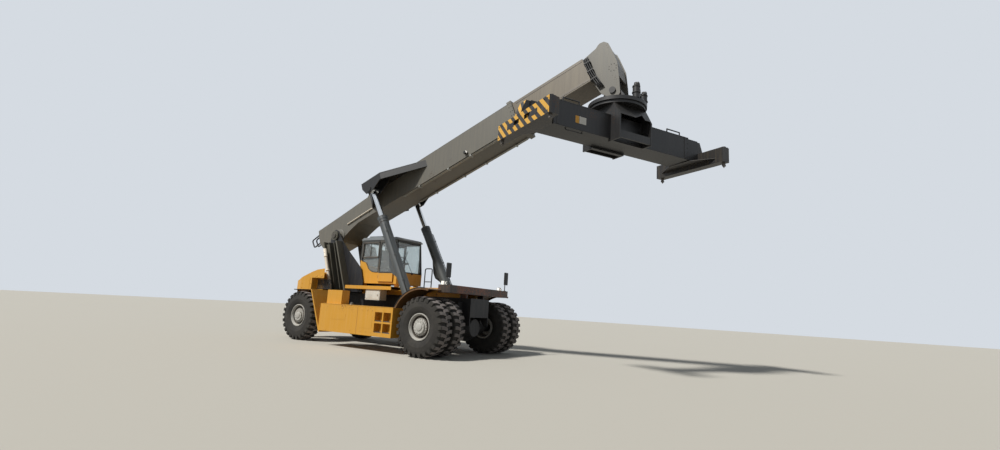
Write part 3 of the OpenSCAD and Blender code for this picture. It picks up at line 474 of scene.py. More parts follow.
def pipe(points, radius, bend=0.06):
    """A bent tube through the points, with round corners and closed ends."""
    places = [Vector(points[0])]
    for before, corner, after in zip(points, points[1:], points[2:]):
        before, corner, after = Vector(before), Vector(corner), Vector(after)
        places += [corner + (before - corner).normalized() * bend, corner,
                   corner + (after - corner).normalized() * bend]
    places.append(Vector(points[-1]))
    curve = bpy.data.curves.new("route", "CURVE")
    curve.dimensions = "3D"
    curve.bevel_depth = radius
    curve.bevel_resolution = 2
    curve.use_fill_caps = True
    spline = curve.splines.new("NURBS")
    spline.points.add(len(places) - 1)
    for point, place in zip(spline.points, places):
        point.co = (*place, 1)
    spline.order_u = 3
    spline.use_endpoint_u = True
    spline.resolution_u = 5
    holder = bpy.data.objects.new("route", curve)
    made = bpy.data.meshes.new_from_object(holder)
    before = set(bench.faces)
    bench.from_mesh(made)
    for face in set(bench.faces) - before:
        face.smooth = len(face.verts) == 4
    bpy.data.objects.remove(holder)
    bpy.data.curves.remove(curve)
    bpy.data.meshes.remove(made)


for side, word in SIDES:
    pipe(on_fender(BEAD_ARC, 1.078, side * 2.094), 0.011, 0.03)
    bolts(on_fender(BEAD_ARC[1:-1:2], 1.05, side * 2.0895), (0, side, 0), 0.009, 0.008)
    finished(f"fender_bead_{word}", plastic)

# Front beam: a box beam across the front, black over rust where the paint has gone, with a lamp and a mirror
# on a stalk at each end. The tail lamps sit in black surrounds on the counterweight.
LAMP_Y, MIRROR_Y, STALK_X, STALK_Y, TAIL_Y = 1.455, 1.53, 0.48, 1.48, 0.485
BEZEL = ((0.0, 0.046), (0.012, 0.050), (0.022, 0.046), (0.018, 0.040), (0.004, 0.038))
beam_rust = enamel("rusty_beam_enamel", "#332B27", "#6A5A48", "#7E4A30", chips=0.40, streaks=0.35)
dress(beam_rust, "front_beam")
dress(plastic, "mirrors")


def lens_material(name, colour, roughness, weight, glow):
    # Moulded acrylic over a reflector: glossy, a little see-through, ribbed; the white ones are lit
    material, tree = new_tree(name)
    place = add(tree, "TexCoord").outputs["Object"]
    ribs = add(tree, "TexWave", place, Scale=22.0, Distortion=0.0, bands_direction="Z")
    bump = add(tree, "Bump", Height=ribs.outputs["Fac"], Strength=0.3, Distance=0.004)
    skin = add(tree, "BsdfPrincipled", Normal=bump, Base_Color=linear(colour), Roughness=roughness,
               Transmission_Weight=weight, Emission_Color=linear(colour), Emission_Strength=glow)
    add(tree, "OutputMaterial", skin)
    return material


lamp_clear = lens_material("clear_lamp_acrylic", "#F2EFE6", 0.12, 0.25, 0.7)
lamp_red = lens_material("red_lamp_acrylic", "#A01812", 0.16, 0.15, 0.0)
dress(lamp_clear, "lamps")
mirror_face = plain_material("mirror_glass", "#DDE1E2", 0.05, metallic=1.0, speck=0.02)
for side, word in SIDES:
    lathe(BEZEL, 32)
    y = side * LAMP_Y
    turn = Matrix.Translation((0.318, y, 2.092)) @ Matrix.Rotation(math.radians(-90), 4, "Z")
    bmesh.ops.transform(bench, matrix=turn, verts=bench.verts)
    block((0.25, y - 0.03, 2.14), (0.30, y + 0.03, 2.152), 0.003)
    block((0.236, y - 0.078, 2.038), (0.241, y + 0.078, 2.142), 0.002)
    # Housing of the mirror, and the clamps and the foot of its stalk
    y = side * MIRROR_Y
    block((0.462, y - 0.096, 2.243), (0.508, y + 0.096, 2.657), 0.016)
    y = side * STALK_Y
    for z in (2.30, 2.60):
        bar((STALK_X, y, z - 0.025), (STALK_X, y, z + 0.025), 0.024)
    bar((STALK_X, y, 2.038), (STALK_X, y, 2.056), 0.045, steps=24)
    finished(f"lamp_bezel_{word}", plastic)
    y = side * MIRROR_Y
    block((0.452, y - 0.082, 2.262), (0.4605, y + 0.082, 2.638), 0.003)
    finished(f"mirror_face_{word}", mirror_face)
    y = side * TAIL_Y
    block((-7.492, y - 0.038, 1.262), (-7.479, y + 0.038, 1.418), 0.005)
    finished(f"tail_lens_{word}", lamp_red)
    for edge in (-1, 1):
        block((-7.488, y + edge * 0.040, 1.242), (-7.450, y + edge * 0.052, 1.438), 0.003)
    for z in (1.242, 1.426):
        block((-7.488, y - 0.052, z), (-7.450, y + 0.052, z + 0.012), 0.003)
    finished(f"tail_surround_{word}", plastic)

# Platform rail: a bent tube in black enamel with a cross bar and bolted feet, for the way up to the cab.
# The pale switch box under the platform has a sheet door with pressed vents, two hinges and a turning latch.
RAIL_Y, PLATFORM_TOP = 0.75, 1.951
SWITCH_Y = -1.158
pale = enamel("pale_grey_enamel", "#CFCFC9", "#B9B3A6", "#8A6A4A", streaks=0.4)
dress(pale, "electric_box")
bow = [(x, RAIL_Y, z) for x, z in zip((-2.41, -2.41, -2.09, -2.09), (1.952, 2.70, 2.70, 1.952))]
pipe(bow, 0.019, 0.15)
pipe([(-2.40, RAIL_Y, 2.24), (-2.10, RAIL_Y, 2.24)], 0.015)
for x in (-2.41, -2.09):
    bar((x, RAIL_Y, PLATFORM_TOP), (x, RAIL_Y, PLATFORM_TOP + 0.010), 0.045, steps=24)
    bolt_circle((x, RAIL_Y, PLATFORM_TOP + 0.010), 0.034, 4, (0, 0, 1), 0.006, 0.006, 0.8)
finished("platform_rail", black)
block((-3.20, SWITCH_Y, 1.53), (-2.60, SWITCH_Y + 0.009, 1.81), 0.003)
for z in (1.57, 1.60, 1.63, 1.66):
    block((-3.12, SWITCH_Y - 0.006, z), (-2.92, SWITCH_Y + 0.002, z + 0.012), 0.003)
for z in (1.58, 1.76):
    bar((-3.205, SWITCH_Y, z - 0.025), (-3.205, SWITCH_Y, z + 0.025), 0.008, steps=12)
bar((-2.66, SWITCH_Y + 0.001, 1.67), (-2.66, SWITCH_Y - 0.018, 1.67), 0.020, steps=24)
block((-2.667, SWITCH_Y - 0.028, 1.645), (-2.653, SWITCH_Y - 0.016, 1.695), 0.003)
finished("switch_box_door", pale)

# Counterweight and hood: a cast block with a sheet hood over the engine, in golden yellow. Black slatted
# grilles cool it at the sides and behind, bolts hold the hood, and a zinc-plated pin is in the towing jaw.
GRILLE_Y, HOOD_Y, REAR_X, TOW_X = 1.288, 1.4995, -7.448, -7.53
dress(yellow, "counterweight")
for side, word in SIDES:
    y = side * GRILLE_Y
    for i in range(9):
        x = -5.53 + 0.075 * i
        block((x, y - 0.008, 1.80), (x + 0.045, y + 0.008, 2.09), 0.004)
    for z in (1.78, 2.09):
        block((-5.56, y - 0.010, z), (-4.86, y + 0.010, z + 0.020), 0.004)
    finished(f"hood_grille_{word}", black)
    y = side * HOOD_Y
    heads = [(-5.66, y, z) for z in (1.80, 1.95, 2.10)] + [(-6.12, y, z) for z in (1.80, 1.95)]
    bolts(heads, (0, side, 0), 0.014, 0.012)
    block((-5.72, y - side * 0.0015, 1.765), (-5.705, y + side * 0.0065, 2.16), 0.002)
    for x in (-5.42, -5.14):
        block((x, y - side * 0.0025, 2.20), (x + 0.10, y + side * 0.0095, 2.235), 0.003)
    finished(f"hood_trim_{word}", yellow)
for i in range(7):
    z = 1.14 + 0.055 * i
    block((REAR_X - 0.014, -0.36, z), (REAR_X, 0.36, z + 0.025), 0.004)
for y in (-0.37, 0.35):
    block((REAR_X - 0.018, y, 1.12), (REAR_X, y + 0.02, 1.53), 0.004)
finished("rear_grille", black)
bar((TOW_X, 0, 0.87), (TOW_X, 0, 1.105), 0.0245, steps=24)
bar((TOW_X, 0, 1.062), (TOW_X, 0, 1.075), 0.036, steps=24)
pipe([(TOW_X, y, z) for y, z in ((-0.03, 1.10), (-0.03, 1.16), (0.03, 1.16), (0.03, 1.10))], 0.006, 0.02)
finished("towing_pin", zinc)

# Boom tower: two leaning side plates with welded flanges, in the boom's dark warm grey, with the plates
# between the flanges painted near black as painted shade. A bolted cap closes each end of the pivot pin,
# cover plates lie on the flanges, and a pale cable duct runs up on the right.
PIVOT_X, PIVOT_Z = -5.65, 3.76
FLANGE_FOOT, FLANGE_LEAN, COVER_X, COVER_Z = 1.74, 0.345, (-5.235, -5.085), (0.06, 1.66)
DUCT_LOW, DUCT_HIGH = Vector((-5.13, -1.045, 1.76)), Vector((-5.70, -1.045, 3.22))


def tower_colour(tree, coordinates):
    """The flanges are warm grey, and the side plates between them are painted near black as painted shade."""
    axes = add(tree, "SeparateXYZ", coordinates.outputs["Object"])
    out = add(tree, "Math", axes.outputs[1], operation="ABSOLUTE")
    plate = add(tree, "MapRange", out, From_Min=0.676, From_Max=0.690)
    return add(tree, "MixRGB", plate, Color1=linear("#17181D"), Color2=linear("#5A584E"))


tower_grey = enamel("tower_grey_enamel", "#4B4A44", "#77705F", "#2A1E17", dust_share=0.4, streaks=0.1,
                    colour=tower_colour)
dress(tower_grey, "boom_tower")
for side, word in SIDES:
    bolt_circle((PIVOT_X, side * 0.7345, PIVOT_Z), 0.132, 12, (0, side, 0), 0.013, 0.014)
    bolt_circle((PIVOT_X, side * 0.772, PIVOT_Z), 0.052, 3, (0, side, 0), 0.012, 0.010)
    for near, far, radius, steps in ((0.764, 0.772, 0.078, 40), (0.771, 0.782, 0.007, 12)):
        bar((PIVOT_X, side * near, PIVOT_Z), (PIVOT_X, side * far, PIVOT_Z), radius, steps=steps)
    finished(f"pivot_cap_{word}", bare_steel)
for side in (-1, 1):
    block((COVER_X[0], side * 0.880, COVER_Z[0]), (COVER_X[1], side * 0.895, COVER_Z[1]), 0.004)
    heads = [(x, side * 0.8945, z) for x in (-5.215, -5.125) for z in (0.12, 0.62, 1.12, 1.60)]
    bolts(heads, (0, side, 0), 0.010, 0.008)
    block((COVER_X[0], side * 0.676, COVER_Z[0]), (COVER_X[0] + 0.015, side * 0.886, COVER_Z[1]), 0.003)
lean = Matrix(((1, 0, -FLANGE_LEAN, 0), (0, 1, 0, 0), (0, 0, 1, FLANGE_FOOT), (0, 0, 0, 1)))
finished("tower_cover_plates", tower_grey, place=CAR @ lean)
white = enamel("off_white_enamel", "#E6DDCE", "#C9BFA9", "#8A6A4A", streaks=0.3)
pipe([DUCT_LOW, DUCT_HIGH], 0.056)
for z in (1.95, 2.45, 2.95):
    x, y, z = DUCT_LOW.lerp(DUCT_HIGH, (z - DUCT_LOW.z) / (DUCT_HIGH.z - DUCT_LOW.z))
    bar((x + 0.010, y, z - 0.026), (x - 0.010, y, z + 0.026), 0.062, steps=24)
    block((x - 0.14, y + 0.015, z - 0.02), (x + 0.02, y + 0.06, z + 0.02), 0.004)
finished("tower_duct", white)

# Outer boom and crosshead: a folded and welded box section in warm grey enamel, and a crosshead painted near
# black as painted shade.
# Steel pressure pipes run along it in bolted clamps, and bolts round the collar set the slide pads.
BOOM_RISE = math.radians(22)
BOOM = Matrix.Translation((PIVOT_X + SHIFT_X, 0, PIVOT_Z)) @ Matrix.Rotation(-BOOM_RISE, 4, "Y")
PAD_BOLTS_S, PIPE_Y, WELD_END = (8.07, 8.15), 0.42, 8.02
PIVOT_DISC = ((0.489, 0.27), (0.511, 0.27), (0.517, 0.262), (0.517, 0.12))
boom_grey = enamel("warm_grey_enamel", "#68665F", "#857E6E", "#40301F", dust_share=0.5, streaks=0.3)
# The crosshead's near black is painted shade, with real dust and chips over it.
crosshead_painted_shade = enamel("crosshead_painted_shade_enamel", "#1B1B1C", "#4E4A44", "#2A1E17", dust_share=0.3,
                         streaks=0.1)
dress(boom_grey, "boom_outer", "boom_collar")
dress(crosshead_painted_shade, "crosshead")
# The pipes at the boom's root are off-white paint, made this bright partly as a painted highlight along them.
for side in (-1, 1):
    route = ((0.50, 0.492, 0.27), (0.55, 0.522, 0.27), (1.80, 0.522, 0.30), (1.86, 0.492, 0.30))
    pipe([(s, side * y, o) for s, y, o in route], 0.019, 0.02)
finished("boom_root_pipes", white, "outer_boom", BOOM)
for side in (-1, 1):
    middle = side * PIPE_Y
    for s in (4.07, 5.35, 6.29, 7.52):
        block((s - 0.03, middle - 0.075, 0.052), (s + 0.03, middle + 0.075, 0.107), 0.006)
        bolts([(s, middle + dy, 0.052) for dy in (-0.055, 0.0, 0.055)], (0, 0, -1), 0.008, 0.008)
    for y in (middle - 0.035, middle, middle + 0.035):
        pipe([(3.30, y, 0.104), (3.34, y, 0.078), (7.94, y, 0.078), (7.98, y, 0.104)], 0.012, 0.02)
finished("boom_pipes", zinc, "outer_boom", BOOM)
for side in (-1, 1):
    for s in (0.72, 1.20, 1.66):
        block((s - 0.015, side * 0.486, 0.235), (s + 0.015, side * 0.530, 0.33), 0.004)
    for s in PAD_BOLTS_S:
        heads = [(s, side * 0.5295, o) for o in (0.20, 0.35, 0.50, 0.65, 0.80, 0.92)]
        bolts(heads, (0, side, 0), 0.013, 0.014)
    lathe([(side * a, r) for a, r in PIVOT_DISC], 48)
    # Weld beads along the corners
    for start, o in ((2.80, 0.952), (1.10, 0.108)):
        bar((start, side * 0.487, o), (WELD_END, side * 0.487, o), 0.007, steps=8)
bolts([(s, y, 0.9945) for s in PAD_BOLTS_S for y in (-0.42, -0.14, 0.14, 0.42)], (0, 0, 1), 0.013, 0.014)
finished("boom_trim", boom_grey, "outer_boom", BOOM)

# Work lamp on the boom's right side, to light the load: a black plastic housing with cooling ribs, on a
# bracket of pressed plate, with a clear moulded lens at its front.
block((6.14, -0.545, 0.20), (6.25, -0.488, 0.215), 0.003)
block((6.13, -0.590, 0.185), (6.22, -0.510, 0.275), 0.012)
for o in (0.20, 0.22, 0.24, 0.26):
    block((6.122, -0.580, o - 0.004), (6.135, -0.520, o + 0.004), 0.002)
finished("boom_lamp", plastic, "outer_boom", BOOM)
block((6.219, -0.583, 0.192), (6.228, -0.517, 0.268), 0.004)
finished("boom_lamp_lens", lamp_clear, "outer_boom", BOOM)

# Tail pipes: bent steel pressure pipes, painted black, with six-sided unions. They leave the boom's blunt end
# and turn back into it.
TAIL_S = -1.113
for i, y in enumerate((-0.36, -0.26, 0.26, 0.36)):
    far = -1.60 + 0.10 * (i % 2)
    pipe([(TAIL_S, y, 0.30), (far, y, 0.24), (far - 0.06, y, 0.56), (TAIL_S, y, 0.62)], 0.026, 0.16)
    for o in (0.30, 0.62):
        bar((TAIL_S + 0.002, y, o), (TAIL_S - 0.037, y, o), 0.036, steps=6)
finished("tail_pipes", hose_black, "outer_boom", BOOM)

# Inner boom and nose: the running section in weathered enamel, with screwed wear strips of bare steel along
# its sides. A circle of bolts stands on each nose plate, and short pipes bend down between the plates.
STRIP_S, STRIP_O = (8.30, 10.60), (0.20, 0.86)
inner_grey = enamel("weathered_boom_enamel", "#726A5D", "#8C8371", "#4A3622", dust_share=0.45, streaks=0.45)
dress(inner_grey, "boom_inner")
dress(boom_grey, "boom_nose")
for side in (-1, 1):
    for o in STRIP_O:
        block((STRIP_S[0], side * 0.4545, o - 0.025), (STRIP_S[1], side * 0.461, o + 0.025), 0.002)
    screws = [(s, side * 0.4605, o) for s in (8.6, 9.2, 9.8, 10.4) for o in STRIP_O]
    bolts(screws, (0, side, 0), 0.010, 0.006)
finished("boom_wear_strips", bare_steel, "inner_boom", BOOM)
for side in (-1, 1):
    for y in (side * 0.18, side * 0.24):
        pipe([(10.66, y, 0.150), (10.72, y, 0.112), (10.86, y, -0.02), (10.90, y, -0.16)], 0.012, 0.03)
    bolt_circle((11.30, side * 0.3795, 0.20), 0.11, 8, (0, side, 0), 0.011, 0.010)
finished("nose_pipes", hose_black, "inner_boom", BOOM)

# Nose hoses: three pressure hoses down the rear edge of each nose plate to the head, black and stiff, held
# by three clamps a side.
HOSE_S = 10.66
for side in (-1, 1):
    for k in range(3):
        s, y = HOSE_S + 0.055 * k, side * (0.478 + 0.006 * (k % 2))
        pipe([(s + 0.02, side * 0.40, 0.88), (s, y, 0.84), (s + 0.02, y, 0.30), (s + 0.10, y, -0.10),
              (s + 0.12, side * 0.40, -0.20)], 0.019, 0.09)
    for o in (0.70, 0.42, 0.14):
        block((HOSE_S - 0.03, side * 0.375, o - 0.02), (HOSE_S + 0.16, side * 0.505, o + 0.02), 0.006)
finished("nose_hoses", hose_black, "inner_boom", BOOM)

# Lift cylinders: honed barrels in dark grey enamel with two bands and a bolted gland, whose wiper ring cleans
# the chromed rod. A pressure pipe runs up each barrel in clamps from a valve block at the foot.
LIFT_FOOT, LIFT_LEAN, GLAND_S = (-1.160, 1.080, 1.260), 30.0162, 3.427
WIPER = ((0, 0.091), (0, 0.110), (0.013, 0.106), (0.019, 0.093), (0.013, 0.091), (0, 0.091))
cylinder_grey = enamel("cylinder_grey_enamel", "#474D50", "#6E6A62", "#3A2A20", dust_share=0.35)
dress(cylinder_grey, "barrel_right", "barrel_left")
dress(chrome, "rod_right", "rod_left")


def stand_up():
    """Turns what was lathed about the Y axis on to the Z axis."""
    bmesh.ops.rotate(bench, verts=bench.verts, cent=(0, 0, 0), matrix=Matrix.Rotation(math.pi / 2, 3, "X"))


for side, word in SIDES:
    foot = Matrix.Translation((LIFT_FOOT[0] + SHIFT_X, side * LIFT_FOOT[1], LIFT_FOOT[2]))
    lift = foot @ Matrix.Rotation(math.radians(-LIFT_LEAN), 4, "Y")
    for low, high, inner, outer in ((0.52, 0.56, 0.155, 0.168), (3.20, 3.235, 0.155, 0.166)):
        lathe([(low, inner), (low, outer), (high, outer), (high, inner), (low, inner)], 48)
    stand_up()
    bolt_circle((0, 0, GLAND_S + 0.0025), 0.142, 12, (0, 0, 1), 0.011, 0.012)
    block((0.075, side * 0.09, 0.40), (0.150, side * 0.165, 0.56), 0.008)
    x, y = 0.121, side * 0.144
    pipe([(x, y, 0.55), (x, y, 3.10), (x - 0.03, y - side * 0.03, 3.13)], 0.013, 0.03)
    for z in (1.0, 1.9, 2.8):
        block((x - 0.03, y - side * 0.035, z - 0.02), (x + 0.018, y + side * 0.018, z + 0.02), 0.004)
    finished(f"barrel_trim_{word}", cylinder_grey, f"lift_barrel_{word}", lift)
    lathe([(GLAND_S + a, r) for a, r in WIPER], 48)
    stand_up()
    finished(f"rod_wiper_{word}", plastic, f"lift_barrel_{word}", lift)

# Cab: a welded tub in golden yellow below the waist and dark posts above it, with panes bonded in black
# rubber, a crowned roof with a cooling unit, a hinged door, and a wiper on the leaning windscreen.
PANE_TOP, SCREEN_LOW, WAIST = 3.49, 2.46, 2.41
SIDE_PANE = [(-4.17, PANE_TOP), (-4.17, 2.83), (-3.99, 2.79), (-3.91, 2.72), (-3.84, 2.61), (-3.75, 2.52),
             (-3.62, 2.46), (-3.46, 2.44), (-3.34, 2.44), (-3.34, PANE_TOP)]
cab_dark = enamel("cab_dark_grey_enamel", "#3E403F", "#77746C", "#3A2A20", dust_share=0.5, gloss=0.36)
roof_grey = enamel("roof_grey_enamel", "#7C8388", "#A29C90", "#4A3B2C", dust_share=0.3)


def door_colour(tree, coordinates):
    """The door is golden yellow below its window and dark grey round it."""
    axes = add(tree, "SeparateXYZ", coordinates.outputs["Object"])
    high = add(tree, "MapRange", axes.outputs[2], From_Min=WAIST - 0.005, From_Max=WAIST + 0.005)
    return add(tree, "MixRGB", high, Color1=linear("#CE962F"), Color2=linear("#3E403F"))


def pane_glass():
    # Tinted laminated glass: clear, faintly green and smooth, with a film of dust in patches 0.4 m wide
    material, tree = new_tree("tinted_cab_glass")
    place = add(tree, "TexCoord").outputs["Object"]
    film = add(tree, "TexNoise", place, Scale=2.4, Detail=6.0, Roughness=0.6)
    rough = add(tree, "MapRange", film, From_Min=0.35, From_Max=0.75, To_Min=0.02, To_Max=0.12)
    skin = add(tree, "BsdfPrincipled", Roughness=rough, Base_Color=linear("#EEF5F4"), IOR=1.5,
               Transmission_Weight=0.9)
    add(tree, "OutputMaterial", skin)
    return material


def round_pane(low, high, bottom, top):
    """The closed route of a gasket round a pane with upright sides."""
    return [(low, top), (low, bottom), (high, bottom), (high, top), (low, top)]


def screen_x(z):
    """Front face of the leaning windscreen at a height."""
    return -2.440 - 0.15 * max(0, z - SCREEN_LOW) / 1.18


door_enamel = enamel("two_colour_door_enamel", "#CE962F", "#B9A27A", "#4A3320", dust_share=0.5, gloss=0.36,
                     colour=door_colour)
glass = pane_glass()
gasket_rubber = plain_material("gasket_rubber", "#161617", 0.7)
dress(yellow, "cab_body")
dress(cab_dark, "cab_frame")
dress(door_enamel, "cab_door")
dress(roof_grey, "cab_roof")
dress(glass, "cab_glass", "door_pane")
for y in (-0.611, 0.611):
    pipe([(x, y, z) for x, z in SIDE_PANE + SIDE_PANE[:1]], 0.010, 0.015)
pipe([(x, 0.611, z) for x, z in round_pane(-3.28, -2.58, 2.44, PANE_TOP)], 0.010, 0.02)
pipe([(-4.243, y, z) for y, z in round_pane(-0.50, 0.50, 2.70, PANE_TOP)], 0.010, 0.03)
pipe([(screen_x(z) + 0.002, y, z) for y, z in round_pane(-0.54, 0.54, 2.48, PANE_TOP)], 0.011, 0.03)
finished("cab_gaskets", gasket_rubber)
pipe([(x, -0.661, z) for x, z in round_pane(-3.22, -2.64, 2.44, 3.45)], 0.009, 0.04)
finished("door_gasket", gasket_rubber, "cab_door")
bar((screen_x(2.44), 0.10, 2.44), (screen_x(2.44) + 0.040, 0.10, 2.44), 0.022)
pipe([(screen_x(2.44) + 0.034, 0.10, 2.44), (screen_x(2.96) + 0.030, -0.22, 2.96)], 0.007)
pipe([(screen_x(2.70) + 0.016, -0.36, 2.70), (screen_x(3.22) + 0.016, -0.08, 3.22)], 0.008)
finished("wiper", plastic)

# Louvres of the cooling unit on the cab's roof: slats of moulded black plastic, clipped in. Long ones lie on
# the unit's lid and short ones in front of it.
for i in range(9):
    y = -0.36 + 0.09 * i
    block((-3.478, y - 0.028, 3.668), (-3.442, y + 0.028, 3.676), 0.002)
    block((-4.10, y - 0.012, 3.714), (-3.55, y + 0.012, 3.7275), 0.003)
finished("roof_louvres", plastic)

# Sliding windows in the upper part of the rear side panes: frames of bronze anodised aluminium, a satin
# brown grey, clamped over the pane, with a meeting rail in the middle.
WINDOW_X, WINDOW_Z, WINDOW_Y = (-4.17, -3.34), (2.93, 3.485), 0.608
bronze = plain_material("bronze_anodised_aluminium", "#5F5A53", 0.4, metallic=0.3)
for y in (-WINDOW_Y, WINDOW_Y):
    out = math.copysign(0.024, y)
    for z in (WINDOW_Z[0], WINDOW_Z[1] - 0.05):
        block((WINDOW_X[0], y, z), (WINDOW_X[1], y + out, z + 0.05), 0.006)
    for x in (WINDOW_X[0], WINDOW_X[1] - 0.045):
        block((x, y, WINDOW_Z[0]), (x + 0.045, y + out, WINDOW_Z[1]), 0.006)
    block((-3.79, y, 2.96), (-3.765, y + math.copysign(0.014, y), 3.45), 0.004)
finished("sliding_window_frames", bronze)

# Driver's place: a suspension seat with moulded foam cushions in black woven cloth, on a bellows and with
# two armrests of black plastic, and a steering wheel of the same plastic on the console's column.
SEAT_HALF, CUSHION_CUTS = 0.25, 9
WHEEL_PLACE, WHEEL_RADIUS, WHEEL_LEAN = (-2.97, 0, 2.93), 0.19, 0.5


def woven_cloth():
    # Flat-woven polyester: matt, with a soft sheen; threads are drawn 3 mm wide so that they show
    material, tree = new_tree("woven_seat_cloth")
    place = add(tree, "TexCoord").outputs["Object"]
    warp = add(tree, "TexWave", place, Scale=105.0, bands_direction="Y")
    weft = add(tree, "TexWave", place, Scale=105.0, bands_direction="X")
    both = add(tree, "Math", warp.outputs["Fac"], weft.outputs["Fac"], operation="MULTIPLY")
    body = add(tree, "MixRGB", both, Color1=linear("#1B1C1E"), Color2=linear("#34363A"))
    bump = add(tree, "Bump", Height=both, Strength=0.4, Distance=0.001)
    skin = add(tree, "BsdfPrincipled", Base_Color=body, Normal=bump, Roughness=0.9, Sheen_Weight=0.2)
    add(tree, "OutputMaterial", skin)
    return material


def cushion(name, low, high, crown):
    """A moulded foam pad with crowned faces and round edges, drawn in between its corners."""
    block(low, high, 0)
    bmesh.ops.subdivide_edges(bench, edges=bench.edges, cuts=CUSHION_CUTS, use_grid_fill=True)
    middle = [(a + b) / 2 for a, b in zip(low, high)]
    half = [(b - a) / 2 for a, b in zip(low, high)]
    thin = half.index(min(half))
    wide = [i for i in range(3) if i != thin]
    for vert in bench.verts:
        t = [(vert.co[i] - middle[i]) / half[i] for i in range(3)]
        bulge = (1 - t[wide[0]] ** 2) * (1 - t[wide[1]] ** 2)
        edge = max(abs(t[wide[0]]), abs(t[wide[1]]))
        height = (1 - 0.42 * edge ** 6) * (1 - crown + crown * bulge)
        vert.co[thin] = middle[thin] + half[thin] * t[thin] * height
        for i, other in (wide, wide[::-1]):
            vert.co[i] -= 0.012 * t[i] * (1 - t[other] ** 2)
    bmesh.ops.smooth_vert(bench, verts=bench.verts, factor=0.5, use_axis_x=True, use_axis_y=True,
                          use_axis_z=True)
    for face in bench.faces:
        face.smooth = True
    piece = finished(name, cloth)
    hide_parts("seat")


def on_wheel(t):
    """A point on the rim of the steering wheel."""
    out = Vector((math.cos(t) * math.cos(WHEEL_LEAN), math.sin(t), math.cos(t) * math.sin(WHEEL_LEAN)))
    return Vector(WHEEL_PLACE) + WHEEL_RADIUS * out


cloth = woven_cloth()
cushion("seat_cushion", (-3.70, -SEAT_HALF, 2.502), (-3.20, SEAT_HALF, 2.63), 0.18)
cushion("seat_back", (-3.76, -SEAT_HALF, 2.60), (-3.63, SEAT_HALF, 3.27), 0.2)
block((-3.65, -0.20, 2.121), (-3.25, 0.20, 2.17), 0.012)
for i in range(7):
    inset, z = 0.006 * (i % 2), 2.17 + 0.042 * i
    block((-3.62 - inset, -0.17, z), (-3.28 + inset, 0.17, z + 0.036), 0.008)
block((-3.68, -0.22, 2.462), (-3.22, 0.22, 2.506), 0.01)
block((-3.775, -0.18, 2.52), (-3.745, 0.18, 3.05), 0.008)
for y in (-0.265, 0.265):
    block((-3.66, y - 0.03, 2.80), (-3.34, y + 0.03, 2.85), 0.014)
    block((-3.72, y - 0.012, 2.56), (-3.68, y + 0.012, 2.84), 0.006)
base = finished("seat_base", plastic)
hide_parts("seat")
dress(plastic, "console")
for i in range(24):
    bar(on_wheel(math.pi * i / 12), on_wheel(math.pi * (i + 1) / 12), 0.014, steps=12)
for t in (0.5, 2.6, 4.7):
    bar((-2.962, 0, 2.915), on_wheel(t), 0.010, steps=10)
bar((-2.975, 0, 2.93), (-2.945, 0, 2.885), 0.040, 0.030, steps=24)
bar((-2.950, 0, 2.90), (-2.86, 0, 2.735), 0.026)
finished("steering_wheel", plastic)

# Hanger: a forged yoke over a slewing ring, in black enamel, with bolts above and below the ring. Two motors
# drive the ring, and bent pipes join them to a valve block between them.
HEAD_X, MOTOR_X = 4.766858 + SHIFT_X, 0.64
HANG = Matrix.Translation((HEAD_X, 0, 0))
head_black = enamel("head_black_enamel", "#222223", "#5A554E", "#46301F", dust_share=0.45, streaks=0.15)
dress(head_black, "hanger", "slew_drives", "slew_tower")
bolt_circle((0, 0, 7.1615), 0.765, 40, (0, 0, 1), 0.012, 0.014)
bolt_circle((0, 0, 7.063), 0.775, 40, (0, 0, -1), 0.010, 0.008, 0.08)
for y in (-0.33, 0.33):
    for low, high, radius in ((7.300, 7.330, 0.112), (7.470, 7.505, 0.104)):
        bar((MOTOR_X, y, low), (MOTOR_X, y, high), radius, steps=36)
    bar((MOTOR_X, y, 7.505), (MOTOR_X, y, 7.600), 0.066, 0.060, steps=32)
    block((0.60, y - 0.055, 7.545), (0.72, y + 0.055, 7.600), 0.010)
    bolt_circle((MOTOR_X, y, 7.505), 0.084, 8, (0, 0, 1), 0.009, 0.009)
block((0.56, -0.13, 7.163), (0.72, 0.13, 7.30), 0.012)
for y in (-0.09, -0.03, 0.03, 0.09):
    bar((MOTOR_X, y, 7.30), (MOTOR_X, y, 7.345), 0.020, steps=6)
finished("slew_motor_trim", head_black, "hanger", HANG)
for side in (-1, 1):
    for rise, y in ((0, 0.03), (0.03, 0.09)):
        pipe([(MOTOR_X, side * y, 7.34), (0.66, side * y, 7.43 + rise),
              (0.70, side * (0.22 + rise), 7.50), (0.715, side * 0.30, 7.572)], 0.011, 0.05)
finished("slew_motor_pipes", hose_black, "hanger", HANG)

# Slew tower: two portals of welded plate under a turning disc. Bolts hold the disc, and pipes cross from the
# swivel to the beam below.
SPREADER_HEIGHT, SPREADER_TURN = 5.85, math.radians(29)
SPREADER = Matrix.Translation((HEAD_X, 0, SPREADER_HEIGHT)) @ Matrix.Rotation(-SPREADER_TURN, 4, "Z")
bolt_circle((0, 0, 1.1345), 0.70, 36, (0, 0, -1), 0.012, 0.014)
for side in (-1, 1):
    for v in (-0.30, 0.0, 0.30):
        pipe([(v, side * 0.30, 1.135), (v, side * 0.31, 1.02), (v + 0.03, side * 0.36, 0.90),
              (v + 0.05, side * 0.37, 0.846)], 0.014, 0.05)
finished("tower_pipes", hose_black, "slew_tower", SPREADER)

# Spreader: a welded box beam in black enamel with two sliding arms and an end beam on each. The end beams'
# outer faces carry yellow and black hazard stripes, and twistlocks stand in their corners under bolted caps.
STRIPE_STEP, BEAM_FACE, BEAM_HALF = 0.30, 0.399, 2.30
LOCK_U, LOCK_V, END_FACE = 2.925, 1.13, 3.028
beam_black = enamel("spreader_black_enamel", "#151517", "#4E4A45", "#3A2518", dust_share=0.4, streaks=0.12)
dress(beam_black, "spreader_beam", "slide_beam_right", "slide_beam_left")


